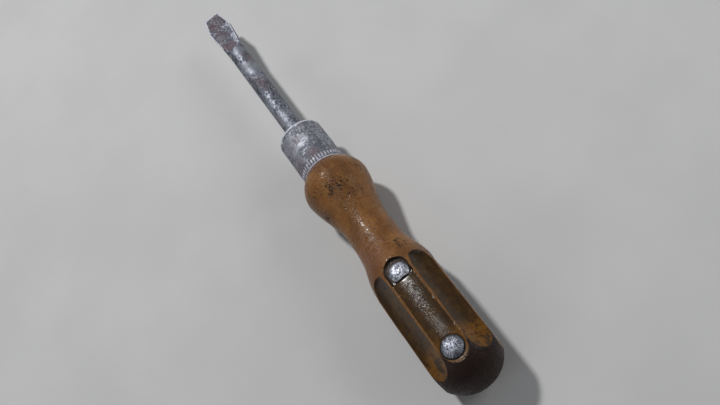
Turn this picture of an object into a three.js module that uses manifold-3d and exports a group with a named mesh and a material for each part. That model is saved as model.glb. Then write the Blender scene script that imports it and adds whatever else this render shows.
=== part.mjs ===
// Old flat-bladed screwdriver with a turned, fluted wooden handle riveted through its tang.
//
// Millimetres, +Z up. The tool lies along X with its tip at -X and its butt at +X, and the
// rivet heads face up. The origin is under the middle of the tool, on the surface it lies on.
// Places along the tool are stations: distances from the end of the tip. Inside the outer
// group X is the station, and the tool's axis is at Y = 0, Z = 0.

import * as THREE from "three";
import { mergeVertices } from "three/addons/utils/BufferGeometryUtils.js";
import Module from "manifold-3d";

const wasm = await Module();
wasm.setup();

// Fits
const CLEARANCE = 0.3;
const CUT_PAST = 2;

// Blade: a round bar, forged flat at the tip and at the tang
const TIP_WIDTH = 7.0;
const TIP_THICKNESS = 1.1;
const SHOULDER_WIDTH = 10.8;
const SHOULDER_THICKNESS = 2.6;
const SHOULDER_STATION = 10.6;
const FLATS_THICKNESS = 5.4;
const FLATS_STATION = 24.5;
const RUN_OUT_LENGTH = 4.5;
const SHANK_DIAMETER = 8.0;
const EXPOSED_LENGTH = 88.7;
const SHANK_IN_HANDLE = 14.0;
const TANG_SPREAD_LENGTH = 8.0;
const TANG_WIDTH = 10.0;
const TANG_THICKNESS = 5.0;
const TANG_END_WIDTH = 8.0;
const TANG_END_THICKNESS = 4.6;
const TANG_PAST_RIVET = 5.5;

// Ferrule: a drawn steel cap, crimped into the wood by a ring of short notches
const FERRULE_DIAMETER = 19.1;
const FERRULE_LENGTH = 23.0;
const FERRULE_WALL = 1.2;
const FERRULE_FRONT = 1.5;
const FERRULE_CORNER = 1.1;
const NOTCH_COUNT = 44;
const NOTCH_LENGTH = 3.0;
const NOTCH_WIDTH = 0.55;
const NOTCH_DEPTH = 0.4;
const NOTCH_FROM_EDGE = 0.7;

// Handle: bulb, neck and flare in front of the fluted grip, and a domed butt
const BULB_RADIUS = 13.8;
const BULB_NOSE_LENGTH = 9.3;
const BULB_NOSE_RUN = 12.9;
const BULB_BACK_LENGTH = 5.2;
const BULB_BACK_RADIUS = 12.9;
const BULB_CONE_LENGTH = 13.0;
const BULB_CONE_RADIUS = 9.8;
const NECK_LENGTH = 7.5;
const NECK_RADIUS = 9.3;
const FLARE_COVE_LENGTH = 11.0;
const FLARE_COVE_RADIUS = 10.1;
const FLARE_RISE_LENGTH = 9.5;
const FLARE_RISE_RADIUS = 12.5;
const FLARE_CREST_LENGTH = 8.5;
const GRIP_FRONT_RADIUS = 13.75;
const GRIP_REAR_RADIUS = 13.95;
const GRIP_LENGTH = 35.5;
const DOME_LENGTH = 12.8;

// Flutes: shallow hollows along the grip, with narrow ridges left between them
const FLUTE_COUNT = 8;
const FLUTE_DEPTH = 1.5;
const FLUTE_NOSE_RADIUS = 2.5;
const FLUTE_FROM_GRIP = -6.5;
const RIDGE_WIDTH = 0.9;

// Rivets: domed heads in the upper flute, closed over sunk burrs in the lower flute
const RIVET_DIAMETER = 4.0;
const FRONT_HEAD_DIAMETER = 8.0;
const REAR_HEAD_DIAMETER = 8.4;
const HEAD_HEIGHT = 1.7;
const HEAD_RIM = 0.35;
const FRONT_RIVET_FROM_GRIP = -0.4;
const FRONT_RIVET_ASIDE = 0.2;
const REAR_RIVET_ASIDE = -0.35;
const RIVET_SPACING = 35.7;
const FRONT_POCKET_DEPTH = 0.85;
const FRONT_POCKET_RADIUS = 4.8;
const FRONT_ARCH_BEFORE_RIVET = 1.6;
const FRONT_STEP_BEHIND_RIVET = 3.1;
const REAR_SEAT_DEPTH = 0.25;
const BURR_DIAMETER = 8.0;
const BURR_THICKNESS = 0.8;
const BURR_SEAT_DEPTH = 1.8;
const CLOSED_END_DIAMETER = 6.0;
const CLOSED_END_HEIGHT = 0.7;

// Roundness of the faceted solids
const ROUND_SEGMENTS = 64;
const FLUTE_SEGMENTS = 120;
const RIVET_SEGMENTS = 32;
const CURVE_STEPS = 12;
const CORNER_STEPS = 3;

// Stations that follow from the lengths
const FERRULE_STATION = EXPOSED_LENGTH;
const FERRULE_END = FERRULE_STATION + FERRULE_LENGTH;
const SPIGOT_STATION = FERRULE_STATION + FERRULE_FRONT + CLEARANCE;
const WOOD_SHOULDER = FERRULE_END + CLEARANCE;
const BULB_STATION = WOOD_SHOULDER + BULB_NOSE_LENGTH;
const BULB_BACK_STATION = BULB_STATION + BULB_BACK_LENGTH;
const BULB_CONE_STATION = BULB_BACK_STATION + BULB_CONE_LENGTH;
const NECK_STATION = BULB_CONE_STATION + NECK_LENGTH;
const FLARE_COVE_STATION = NECK_STATION + FLARE_COVE_LENGTH;
const FLARE_RISE_STATION = FLARE_COVE_STATION + FLARE_RISE_LENGTH;
const GRIP_STATION = FLARE_RISE_STATION + FLARE_CREST_LENGTH;
const DOME_STATION = GRIP_STATION + GRIP_LENGTH;
const TOTAL_LENGTH = DOME_STATION + DOME_LENGTH;
const FRONT_RIVET_STATION = GRIP_STATION + FRONT_RIVET_FROM_GRIP;
const REAR_RIVET_STATION = FRONT_RIVET_STATION + RIVET_SPACING;
const FRONT_RIVET = [FRONT_RIVET_STATION, FRONT_RIVET_ASIDE, 0];
const REAR_RIVET = [REAR_RIVET_STATION, REAR_RIVET_ASIDE, 0];
const TANG_STATION = FERRULE_STATION + SHANK_IN_HANDLE;
const TANG_END = REAR_RIVET_STATION + TANG_PAST_RIVET;

// Radii and heights that follow from the sizes
const SHANK_RADIUS = SHANK_DIAMETER / 2;
const FERRULE_RADIUS = FERRULE_DIAMETER / 2;
const BORE_RADIUS = FERRULE_RADIUS - FERRULE_WALL;
const SPIGOT_RADIUS = BORE_RADIUS - CLEARANCE;
const FLUTE_FLOOR = GRIP_REAR_RADIUS - FLUTE_DEPTH;
const FRONT_SEAT = FLUTE_FLOOR - FRONT_POCKET_DEPTH;
const REAR_SEAT = FLUTE_FLOOR - REAR_SEAT_DEPTH;
const BURR_SEAT = FLUTE_FLOOR - BURR_SEAT_DEPTH;
const REAR_SEAT_RADIUS = REAR_HEAD_DIAMETER / 2 + CLEARANCE;
const FLATS_CORNER_RADIUS = Math.hypot(SHANK_RADIUS, FLATS_THICKNESS / 2);
const OUTSIDE = GRIP_REAR_RADIUS + CUT_PAST;
const HALF_FACET = 180 / ROUND_SEGMENTS;
const AXIS_HEIGHT = BULB_RADIUS * Math.cos(THREE.MathUtils.degToRad(HALF_FACET));

/** Turns a closed three.js geometry into a solid that can be joined and cut. */
function solidFrom(geometry) {
  geometry.deleteAttribute("normal");
  geometry.deleteAttribute("uv");
  const welded = mergeVertices(geometry, 1e-4);
  const corners = welded.index.array;
  const kept = [];
  for (let i = 0; i < corners.length; i += 3) {
    const [a, b, c] = corners.slice(i, i + 3);
    if (a !== b && b !== c && c !== a) kept.push(a, b, c);
  }
  return new wasm.Manifold(new wasm.Mesh({
    numProp: 3,
    vertProperties: new Float32Array(welded.attributes.position.array),
    triVerts: new Uint32Array(kept),
  }));
}

/** Turns a solid back into a named three.js mesh. */
function meshFrom(name, solid, material) {
  const { vertProperties, triVerts } = solid.getMesh();
  const geometry = new THREE.BufferGeometry();
  geometry.setAttribute("position", new THREE.BufferAttribute(vertProperties, 3));
  geometry.setIndex(new THREE.BufferAttribute(triVerts, 1));
  geometry.computeVertexNormals();
  const mesh = new THREE.Mesh(geometry, material);
  mesh.name = name;
  return mesh;
}

/** A solid turned about the tool's axis from [station, radius] points. */
function turned(outline, segments) {
  const points = outline.map(([station, radius]) => new THREE.Vector2(radius, -station));
  const geometry = new THREE.LatheGeometry(points.reverse(), segments);
  geometry.rotateZ(Math.PI / 2);
  return solidFrom(geometry);
}

/** A solid turned about an upright axis from [height, radius] points, bottom first. */
function turnedUpright(outline, segments) {
  const points = outline.map(([height, radius]) => new THREE.Vector2(radius, height));
  const geometry = new THREE.LatheGeometry(points, segments);
  geometry.rotateX(Math.PI / 2);
  return solidFrom(geometry);
}

/** An upright round bar between two heights. */
function uprightBar(radius, bottom, top) {
  return turnedUpright([[bottom, 0], [bottom, radius], [top, radius], [top, 0]], RIVET_SEGMENTS);
}

/** A bar along Z, between two heights, whose outline is seen from above. */
function seenFromAbove(shape, bottom, top) {
  const geometry = new THREE.ExtrudeGeometry(shape, {
    depth: top - bottom,
    bevelEnabled: false,
    curveSegments: CURVE_STEPS,
  });
  geometry.translate(0, 0, bottom);
  return solidFrom(geometry);
}

/** A bar across the tool whose outline is seen from the side. */
function seenFromSide(shape, halfWidth) {
  const geometry = new THREE.ExtrudeGeometry(shape, { depth: 2 * halfWidth, bevelEnabled: false });
  geometry.translate(0, 0, -halfWidth);
  geometry.rotateX(Math.PI / 2);
  return solidFrom(geometry);
}

/** A shape that mirrors [station, half size] points across the tool's axis. */
function mirroredShape(points) {
  const near = points.map(([station, half]) => new THREE.Vector2(station, -half));
  const far = points.map(([station, half]) => new THREE.Vector2(station, half)).reverse();
  return new THREE.Shape([...near, ...far]);
}

/** Quarter-ellipse points from (from, low) to (to, high), level at the high end. */
function risingQuarter(from, to, low, high, steps) {
  const points = [];
  for (let i = 0; i <= steps; i += 1) {
    const angle = (Math.PI / 2) * (i / steps);
    points.push([to - (to - from) * Math.cos(angle), low + (high - low) * Math.sin(angle)]);
  }
  return points;
}

/** Quarter-ellipse points from (from, low) to (to, high), level at the low end. */
function hollowRise(from, to, low, high, steps) {
  const points = [];
  for (let i = 0; i <= steps; i += 1) {
    const angle = (Math.PI / 2) * (i / steps);
    points.push([from + (to - from) * Math.sin(angle), high - (high - low) * Math.cos(angle)]);
  }
  return points;
}

/**
 * The blade from tip to tang, grown by a clearance where it shapes the hole in the handle.
 * A turned bar, wide at both ends, is cut to its width as seen from above and to its thickness
 * as seen from the side, so that it is square in section at the flats and at the tang.
 */
function bladeSolid(grow) {
  const wide = Math.max(SHOULDER_WIDTH, TANG_WIDTH) / 2 + CUT_PAST;
  const spreadStation = TANG_STATION + TANG_SPREAD_LENGTH;
  const runOutStation = FLATS_STATION + RUN_OUT_LENGTH;
  const bar = turned([
    [-CUT_PAST, 0],
    [-CUT_PAST, wide + grow],
    [FLATS_STATION, FLATS_CORNER_RADIUS + grow],
    [runOutStation, SHANK_RADIUS + grow],
    [TANG_STATION, SHANK_RADIUS + grow],
    [spreadStation, wide + grow],
    [TANG_END + grow, wide + grow],
    [TANG_END + grow, 0],
  ], ROUND_SEGMENTS);
  const width = mirroredShape([
    [-grow, TIP_WIDTH / 2 + grow],
    [SHOULDER_STATION, SHOULDER_WIDTH / 2 + grow],
    [FLATS_STATION, SHANK_RADIUS + grow],
    [runOutStation, SHANK_RADIUS + grow],
    [runOutStation, wide],
    [TANG_STATION, wide],
    [TANG_STATION, TANG_WIDTH / 2 + grow],
    [TANG_END + grow, TANG_END_WIDTH / 2 + grow],
  ]);
  const runOut = hollowRise(FLATS_STATION, runOutStation, FLATS_THICKNESS / 2, SHANK_RADIUS, CORNER_STEPS);
  const thickness = mirroredShape([
    [-grow, TIP_THICKNESS / 2 + grow],
    [SHOULDER_STATION, SHOULDER_THICKNESS / 2 + grow],
    ...runOut.map(([station, half]) => [station, half + grow]),
    [runOutStation, wide + grow],
    [TANG_STATION, wide + grow],
    [spreadStation, TANG_THICKNESS / 2 + grow],
    [TANG_END + grow, TANG_END_THICKNESS / 2 + grow],
  ]);
  return bar
    .intersect(seenFromAbove(width, -wide, wide))
    .intersect(seenFromSide(thickness, wide));
}

/** A rivet's hole through wood and tang. */
function rivetHole(place) {
  return uprightBar(RIVET_DIAMETER / 2 + CLEARANCE, -OUTSIDE, OUTSIDE).translate(place);
}

function buildBlade() {
  return bladeSolid(0).subtract(rivetHole(FRONT_RIVET)).subtract(rivetHole(REAR_RIVET));
}

/** The ferrule's cap, with rounded front corners, then its ring of crimped notches. */
function buildFerrule() {
  const corner = risingQuarter(
    FERRULE_STATION,
    FERRULE_STATION + FERRULE_CORNER,
    FERRULE_RADIUS - FERRULE_CORNER,
    FERRULE_RADIUS,
    CORNER_STEPS,
  );
  const hole = SHANK_RADIUS + CLEARANCE;
  let ferrule = turned([
    [FERRULE_STATION, hole],
    ...corner,
    [FERRULE_END, FERRULE_RADIUS],
    [FERRULE_END, BORE_RADIUS],
    [FERRULE_STATION + FERRULE_FRONT, BORE_RADIUS],
    [FERRULE_STATION + FERRULE_FRONT, hole],
    [FERRULE_STATION, hole],
  ], ROUND_SEGMENTS);
  const notchMiddle = FERRULE_END - NOTCH_FROM_EDGE - NOTCH_LENGTH / 2;
  for (let i = 0; i < NOTCH_COUNT; i += 1) {
    const box = new THREE.BoxGeometry(NOTCH_LENGTH, NOTCH_WIDTH, 2 * NOTCH_DEPTH);
    box.translate(notchMiddle, 0, FERRULE_RADIUS);
    box.rotateX((2 * Math.PI * i) / NOTCH_COUNT);
    ferrule = ferrule.subtract(solidFrom(box));
  }
  return ferrule;
}

/** The handle's turned outline, from the spigot inside the ferrule to the domed butt. */
function handleOutline() {
  const noseStart = BULB_STATION - BULB_NOSE_RUN;
  const nose = risingQuarter(noseStart, BULB_STATION, 0, BULB_RADIUS, 2 * CURVE_STEPS)
    .filter(([station]) => station > WOOD_SHOULDER);
  const shoulderRise = (BULB_STATION - WOOD_SHOULDER) / BULB_NOSE_RUN;
  const shoulderRadius = BULB_RADIUS * Math.sqrt(1 - shoulderRise ** 2);
  const marks = [
    [BULB_STATION, BULB_RADIUS],
    [BULB_BACK_STATION, BULB_BACK_RADIUS],
    [BULB_CONE_STATION, BULB_CONE_RADIUS],
    [NECK_STATION, NECK_RADIUS],
    [FLARE_COVE_STATION, FLARE_COVE_RADIUS],
    [FLARE_RISE_STATION, FLARE_RISE_RADIUS],
    [GRIP_STATION, GRIP_FRONT_RADIUS],
  ];
  const sweep = new THREE.SplineCurve(marks.map((mark) => new THREE.Vector2(...mark)));
  const body = sweep.getPoints(2 * CURVE_STEPS).map((point) => [point.x, point.y]);
  const dome = risingQuarter(TOTAL_LENGTH, DOME_STATION, 0, GRIP_REAR_RADIUS, CURVE_STEPS).reverse();
  return [
    [SPIGOT_STATION, 0],
    [SPIGOT_STATION, SPIGOT_RADIUS],
    [WOOD_SHOULDER, SPIGOT_RADIUS],
    [WOOD_SHOULDER, shoulderRadius],
    ...nose.slice(0, -1),
    ...body,
    ...dome.slice(0, -1),
    [TOTAL_LENGTH, 0],
  ];
}

/** One flute's cutter: a long round-nosed roll whose side is the flute's hollow floor. */
function fluteCutter() {
  const edgeAngle = Math.PI / FLUTE_COUNT - RIDGE_WIDTH / (2 * GRIP_REAR_RADIUS);
  const edgeHeight = GRIP_REAR_RADIUS * Math.cos(edgeAngle) - FLUTE_FLOOR;
  const edgeSide = GRIP_REAR_RADIUS * Math.sin(edgeAngle);
  const rollRadius = (edgeHeight ** 2 + edgeSide ** 2) / (2 * edgeHeight);
  const start = GRIP_STATION + FLUTE_FROM_GRIP;
  const nose = risingQuarter(
    start,
    start + FLUTE_NOSE_RADIUS,
    rollRadius - FLUTE_NOSE_RADIUS,
    rollRadius,
    2 * CORNER_STEPS,
  );
  const past = TOTAL_LENGTH + CUT_PAST;
  const roll = turned([[start, 0], ...nose, [past, rollRadius], [past, 0]], FLUTE_SEGMENTS);
  return roll.translate(0, 0, FLUTE_FLOOR + rollRadius);
}

/** The front rivet's pocket: an arch towards the tip, and a straight step behind the rivet. */
function frontPocket() {
  const radius = FRONT_POCKET_RADIUS;
  const arch = FRONT_RIVET_STATION - FRONT_ARCH_BEFORE_RIVET;
  const step = FRONT_RIVET_STATION + FRONT_STEP_BEHIND_RIVET;
  const shape = new THREE.Shape();
  shape.moveTo(step, -radius);
  shape.lineTo(step, radius);
  shape.lineTo(arch, radius);
  shape.absarc(arch, 0, radius, Math.PI / 2, (3 * Math.PI) / 2, false);
  return seenFromAbove(shape, FRONT_SEAT, OUTSIDE);
}

/**
 * The turned handle with its flutes, the hole for the tang, and the rivets' holes and seats.
 * It is turned half a facet round, so that the bulb lies on a facet and not on a corner.
 */
function buildHandle() {
  let handle = turned(handleOutline(), ROUND_SEGMENTS).rotate([HALF_FACET, 0, 0]);
  const cutter = fluteCutter();
  for (let i = 0; i < FLUTE_COUNT; i += 1) {
    handle = handle.subtract(cutter.rotate([(360 * i) / FLUTE_COUNT, 0, 0]));
  }
  handle = handle.subtract(bladeSolid(CLEARANCE)).subtract(frontPocket());
  const rearSeat = uprightBar(REAR_SEAT_RADIUS, REAR_SEAT, OUTSIDE);
  handle = handle.subtract(rearSeat.translate(REAR_RIVET));
  const burrSeat = uprightBar(BURR_DIAMETER / 2 + CLEARANCE, -OUTSIDE, -BURR_SEAT);
  for (const place of [FRONT_RIVET, REAR_RIVET]) {
    handle = handle.subtract(rivetHole(place)).subtract(burrSeat.translate(place));
  }
  return handle;
}

/** A rivet whose domed head sits over a seat and whose far end is closed over its burr. */
function rivetSolid(seat, headDiameter) {
  const headBase = seat + CLEARANCE;
  const closedTop = -(BURR_SEAT + BURR_THICKNESS + 2 * CLEARANCE);
  const closedEnd = closedTop - CLOSED_END_HEIGHT;
  const shankRadius = RIVET_DIAMETER / 2;
  const domeTop = headBase + HEAD_HEIGHT;
  const headRadius = headDiameter / 2;
  const dome = risingQuarter(domeTop, headBase + HEAD_RIM, 0, headRadius, 2 * CORNER_STEPS);
  return turnedUpright([
    [closedEnd, 0],
    [closedEnd, shankRadius],
    [closedTop - CLOSED_END_HEIGHT / 2, CLOSED_END_DIAMETER / 2],
    [closedTop, CLOSED_END_DIAMETER / 2],
    [closedTop, shankRadius],
    [headBase, shankRadius],
    [headBase, headRadius],
    ...dome.reverse().slice(0, -1),
    [domeTop, 0],
  ], RIVET_SEGMENTS);
}

/** The front rivet: its head is filed flat where it meets the step behind it. */
function buildFrontRivet() {
  const keptWidth = 2 * FRONT_HEAD_DIAMETER;
  const kept = new THREE.BoxGeometry(keptWidth, keptWidth, 4 * OUTSIDE);
  kept.translate(FRONT_STEP_BEHIND_RIVET - CLEARANCE - keptWidth / 2, 0, 0);
  const rivet = rivetSolid(FRONT_SEAT, FRONT_HEAD_DIAMETER);
  return rivet.intersect(solidFrom(kept)).translate(FRONT_RIVET);
}

function buildRearRivet() {
  return rivetSolid(REAR_SEAT, REAR_HEAD_DIAMETER).translate(REAR_RIVET);
}

/** The washer under a rivet's closed end, sunk into the lower flute. */
function buildBurr(place) {
  const top = -(BURR_SEAT + CLEARANCE);
  const hole = RIVET_DIAMETER / 2 + CLEARANCE;
  return turnedUpright([
    [top - BURR_THICKNESS, hole],
    [top - BURR_THICKNESS, BURR_DIAMETER / 2],
    [top, BURR_DIAMETER / 2],
    [top, hole],
    [top - BURR_THICKNESS, hole],
  ], RIVET_SEGMENTS).translate(place);
}

const bladeSteel = new THREE.MeshStandardMaterial({ color: 0x77737a, roughness: 0.42, metalness: 0.9 });
const ferruleSteel = new THREE.MeshStandardMaterial({ color: 0x8d9099, roughness: 0.35, metalness: 0.9 });
const rivetSteel = new THREE.MeshStandardMaterial({ color: 0xc3c6cf, roughness: 0.25, metalness: 1.0 });
const varnishedWood = new THREE.MeshStandardMaterial({ color: 0x9a6231, roughness: 0.4, metalness: 0.0 });

const screwdriver = new THREE.Group();
screwdriver.add(meshFrom("blade", buildBlade(), bladeSteel));
screwdriver.add(meshFrom("ferrule", buildFerrule(), ferruleSteel));
screwdriver.add(meshFrom("handle", buildHandle(), varnishedWood));
screwdriver.add(meshFrom("front_rivet", buildFrontRivet(), rivetSteel));
screwdriver.add(meshFrom("rear_rivet", buildRearRivet(), rivetSteel));
screwdriver.add(meshFrom("front_rivet_burr", buildBurr(FRONT_RIVET), rivetSteel));
screwdriver.add(meshFrom("rear_rivet_burr", buildBurr(REAR_RIVET), rivetSteel));
screwdriver.position.set(-TOTAL_LENGTH / 2, 0, AXIS_HEIGHT);

export default screwdriver;
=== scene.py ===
"""An old flat-tip screwdriver with a fluted wooden handle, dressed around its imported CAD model.

Metres, +Z up. The tool lies along X with its tip at -X and its butt at +X, and the rivet heads
face up. Sizes are held in millimetres. Places along the tool are stations: distances from the
end of the tip, and heights are above the tool's axis.
"""

from __future__ import annotations

import logging
import math
import random
from dataclasses import dataclass, field
from enum import Enum
from functools import reduce
from typing import Any, ClassVar, Sequence

import bmesh
import bpy
import numpy as np
from mathutils import Matrix, Vector
from mathutils.kdtree import KDTree


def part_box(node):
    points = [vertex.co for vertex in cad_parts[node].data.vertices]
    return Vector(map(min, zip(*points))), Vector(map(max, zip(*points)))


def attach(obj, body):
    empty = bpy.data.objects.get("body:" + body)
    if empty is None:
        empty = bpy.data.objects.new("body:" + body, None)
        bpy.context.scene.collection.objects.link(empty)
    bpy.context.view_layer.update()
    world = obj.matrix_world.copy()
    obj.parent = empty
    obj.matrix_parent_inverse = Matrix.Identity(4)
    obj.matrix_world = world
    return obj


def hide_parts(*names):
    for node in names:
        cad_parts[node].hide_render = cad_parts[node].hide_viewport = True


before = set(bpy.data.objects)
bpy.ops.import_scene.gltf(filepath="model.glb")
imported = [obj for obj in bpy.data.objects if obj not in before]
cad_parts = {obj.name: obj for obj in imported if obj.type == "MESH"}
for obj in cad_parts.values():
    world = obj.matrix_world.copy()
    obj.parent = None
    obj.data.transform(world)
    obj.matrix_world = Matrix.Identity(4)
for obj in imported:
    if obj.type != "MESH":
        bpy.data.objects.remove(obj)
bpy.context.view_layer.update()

MM = 0.001
FULL_TURN = 2 * math.pi
ALONG = Vector((1, 0, 0))
UP = Vector((0, 0, 1))
BAR_SIDES = 48
MERGE_GAP = 0.002
USUAL_NOISE = (0.3, 0.7)

Colour = tuple[float, float, float]
Mark = tuple[float, float]
Socket = bpy.types.NodeSocket

log = logging.getLogger("screwdriver")


@dataclass(frozen=True)
class Datum:
    """Where the tool lies, read from the CAD nodes.

    Attributes:
        tip: X of the tip's end, in metres.
        height: Z of the tool's axis, in metres.
    """

    tip: float
    height: float

    @classmethod
    def from_frame(cls) -> Datum:
        """Reads the datum from the CAD blade, whose box is centred on the axis."""
        low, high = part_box("blade")
        return cls(tip=low.x, height=(low.z + high.z) / 2)

    def at(self, station: float, across: float = 0.0, above: float = 0.0) -> Vector:
        """Gives a point in metres.

        Args:
            station: millimetres from the end of the tip.
            across: millimetres to the side, along +Y.
            above: millimetres above the axis.

        Returns:
            The point in the tool's frame.
        """
        return Vector((self.tip + station * MM, across * MM, self.height + above * MM))

    def around(self, station: float, radius: float, degrees: float) -> Vector:
        """Gives the point at a station, a distance from the axis and an angle from the top."""
        angle = math.radians(degrees)
        return self.at(station, radius * math.sin(angle), radius * math.cos(angle))

    def station(self, x: float) -> float:
        """Gives the station of an X in metres."""
        return (x - self.tip) / MM

    def node_stations(self, node: str) -> tuple[float, float]:
        """Gives the first and last station of a CAD node."""
        low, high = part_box(node)
        return self.station(low.x), self.station(high.x)


def rising_quarter(start: float, end: float, low: float, high: float, steps: int) -> list[Mark]:
    """Gives quarter-ellipse points from (start, low) to (end, high), level at the high end.

    Args:
        start: first station.
        end: last station.
        low: size at the first station.
        high: size at the last station.
        steps: how many straight pieces the curve has.

    Returns:
        The points, first to last.
    """
    angles = [math.pi / 2 * i / steps for i in range(steps + 1)]
    return [
        (end - (end - start) * math.cos(a), low + (high - low) * math.sin(a)) for a in angles
    ]


def hollow_rise(start: float, end: float, low: float, high: float, steps: int) -> list[Mark]:
    """Gives quarter-ellipse points from (start, low) to (end, high), level at the low end.

    Args:
        start: first station.
        end: last station.
        low: size at the first station.
        high: size at the last station.
        steps: how many straight pieces the curve has.

    Returns:
        The points, first to last.
    """
    angles = [math.pi / 2 * i / steps for i in range(steps + 1)]
    return [
        (start + (end - start) * math.sin(a), high - (high - low) * math.cos(a)) for a in angles
    ]


def smooth_curve(marks: Sequence[Mark], steps: int) -> list[Mark]:
    """Gives points on a smooth curve through marks.

    Args:
        marks: the points that the curve passes through.
        steps: straight pieces between two marks.

    Returns:
        The curve's points, first mark to last.
    """
    padded = [marks[0], *marks, marks[-1]]
    points: list[Mark] = []
    for p0, p1, p2, p3 in zip(padded, padded[1:], padded[2:], padded[3:]):
        for i in range(steps):
            t = i / steps
            points.append(
                tuple(
                    0.5
                    * (
                        2 * b
                        + (c - a) * t
                        + (2 * a - 5 * b + 4 * c - d) * t**2
                        + (3 * b - a - 3 * c + d) * t**3
                    )
                    for a, b, c, d in zip(p0, p1, p2, p3)
                )
            )
    return [*points, tuple(marks[-1])]


def divided(marks: Sequence[Mark], spacing: float) -> list[Mark]:
    """Adds points along a broken line, so that no piece of it is longer than a spacing.

    Args:
        marks: the line's corners.
        spacing: the longest piece allowed, in the marks' own unit.

    Returns:
        The corners and the added points, in order.
    """
    points = [marks[0]]
    for (x0, y0), (x1, y1) in zip(marks, marks[1:]):
        pieces = max(1, math.ceil(math.hypot(x1 - x0, y1 - y0) / spacing))
        points += [
            (x0 + (x1 - x0) * i / pieces, y0 + (y1 - y0) * i / pieces)
            for i in range(1, pieces + 1)
        ]
    return points


class Bench:
    """The modelling steps that the pieces share, each done with Blender's own tools."""

    @staticmethod
    def clear() -> None:
        """Leaves edit mode and deselects everything."""
        if bpy.context.object and bpy.context.object.mode != "OBJECT":
            bpy.ops.object.mode_set(mode="OBJECT")
        bpy.ops.object.select_all(action="DESELECT")

    @staticmethod
    def take(piece: bpy.types.Object) -> None:
        """Makes one piece the only selected and active object.

        Args:
            piece: the piece to select.
        """
        Bench.clear()
        piece.select_set(True)
        bpy.context.view_layer.objects.active = piece

    @staticmethod
    def edit(piece: bpy.types.Object) -> None:
        """Opens one piece in edit mode with all of it selected.

        Args:
            piece: the piece to open.
        """
        Bench.take(piece)
        bpy.ops.object.mode_set(mode="EDIT")
        bpy.ops.mesh.select_all(action="SELECT")

    @staticmethod
    def traced(name: str, points: Sequence[Vector]) -> bpy.types.Object:
        """Starts a piece as a line drawn by extruding one vertex, and leaves it in edit mode.

        Args:
            name: the new object's name.
            points: the line's points in metres.

        Returns:
            The new object, whose origin is the frame's origin.
        """
        Bench.clear()
        bpy.ops.mesh.primitive_plane_add(size=MM, location=(0, 0, 0))
        piece = bpy.context.object
        piece.name = piece.data.name = name
        bpy.ops.object.mode_set(mode="EDIT")
        bpy.ops.mesh.select_all(action="SELECT")
        bpy.ops.mesh.merge(type="CENTER")
        bpy.ops.transform.translate(value=tuple(points[0]))
        for here, there in zip(points, points[1:]):
            step = {"value": tuple(there - here)}
            bpy.ops.mesh.extrude_region_move(TRANSFORM_OT_translate=step)
        bpy.ops.mesh.select_all(action="SELECT")
        return piece

    @staticmethod
    def closed(piece: bpy.types.Object) -> bpy.types.Object:
        """Merges a piece's doubles, turns its faces outwards and leaves edit mode.

        Args:
            piece: the piece, open in edit mode.

        Returns:
            The same piece.
        """
        bpy.ops.mesh.select_all(action="SELECT")
        bpy.ops.mesh.remove_doubles(threshold=MERGE_GAP * MM)
        bpy.ops.mesh.normals_make_consistent(inside=False)
        bpy.ops.object.mode_set(mode="OBJECT")
        return piece

    @staticmethod
    def turned(
        name: str, points: Sequence[Vector], centre: Vector, axis: Vector, steps: int
    ) -> bpy.types.Object:
        """Spins a line about an axis into a closed piece.

        Args:
            name: the new object's name.
            points: the line, in metres, on one side of the axis.
            centre: a point on the axis.
            axis: the axis's direction.
            steps: faces in one turn.

        Returns:
            The turned piece.
        """
        piece = Bench.traced(name, points)
        bpy.ops.mesh.spin(steps=steps, angle=FULL_TURN, center=tuple(centre), axis=tuple(axis))
        return Bench.closed(piece)

    @staticmethod
    def slab(name: str, points: Sequence[Vector], thickness: Vector) -> bpy.types.Object:
        """Fills a flat outline and extrudes it into a closed slab.

        Args:
            name: the new object's name.
            points: the outline's corners in metres, not repeating the first.
            thickness: how far and which way the face is extruded.

        Returns:
            The slab.
        """
        piece = Bench.traced(name, points)
        bpy.ops.mesh.edge_face_add()
        bpy.ops.mesh.extrude_region_move(TRANSFORM_OT_translate={"value": tuple(thickness)})
        return Bench.closed(piece)

    @staticmethod
    def upright_bar(
        name: str, datum: Datum, centre: Mark, radius: float, heights: Mark
    ) -> bpy.types.Object:
        """Makes a round upright bar.

        Args:
            name: the new object's name.
            datum: where the tool lies.
            centre: the bar's station and its place across the tool, in millimetres.
            radius: in millimetres.
            heights: of its bottom and its top, in millimetres.

        Returns:
            The bar.
        """
        station, across = centre
        bottom, top = heights
        angles = [FULL_TURN * i / BAR_SIDES for i in range(BAR_SIDES)]
        ring = [
            datum.at(station + radius * math.cos(a), across + radius * math.sin(a), bottom)
            for a in angles
        ]
        return Bench.slab(name, ring, Vector((0, 0, (top - bottom) * MM)))

    @staticmethod
    def copied(piece: bpy.types.Object, name: str) -> bpy.types.Object:
        """Copies a piece with a mesh of its own.

        Args:
            piece: the piece to copy.
            name: the copy's name.

        Returns:
            The copy.
        """
        Bench.take(piece)
        bpy.ops.object.duplicate(linked=False)
        copy = bpy.context.object
        copy.name = copy.data.name = name
        return copy

    @staticmethod
    def rotated(piece: bpy.types.Object, angle: float, centre: Vector) -> None:
        """Turns a piece's mesh about a line through a centre, along X.

        Args:
            piece: the piece to turn.
            angle: in radians.
            centre: a point on the line, in metres.
        """
        Bench.edit(piece)
        bpy.ops.transform.rotate(value=angle, orient_axis="X", center_override=tuple(centre))
        bpy.ops.object.mode_set(mode="OBJECT")

    @staticmethod
    def modified(piece: bpy.types.Object, kind: str, **settings: Any) -> None:
        """Adds a modifier to a piece and applies it.

        Args:
            piece: the piece to change.
            kind: Blender's name for the modifier's type.
            **settings: the modifier's own settings.
        """
        Bench.take(piece)
        modifier = piece.modifiers.new(kind.title(), kind)
        for setting, value in settings.items():
            setattr(modifier, setting, value)
        bpy.ops.object.modifier_apply(modifier=modifier.name)

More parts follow.
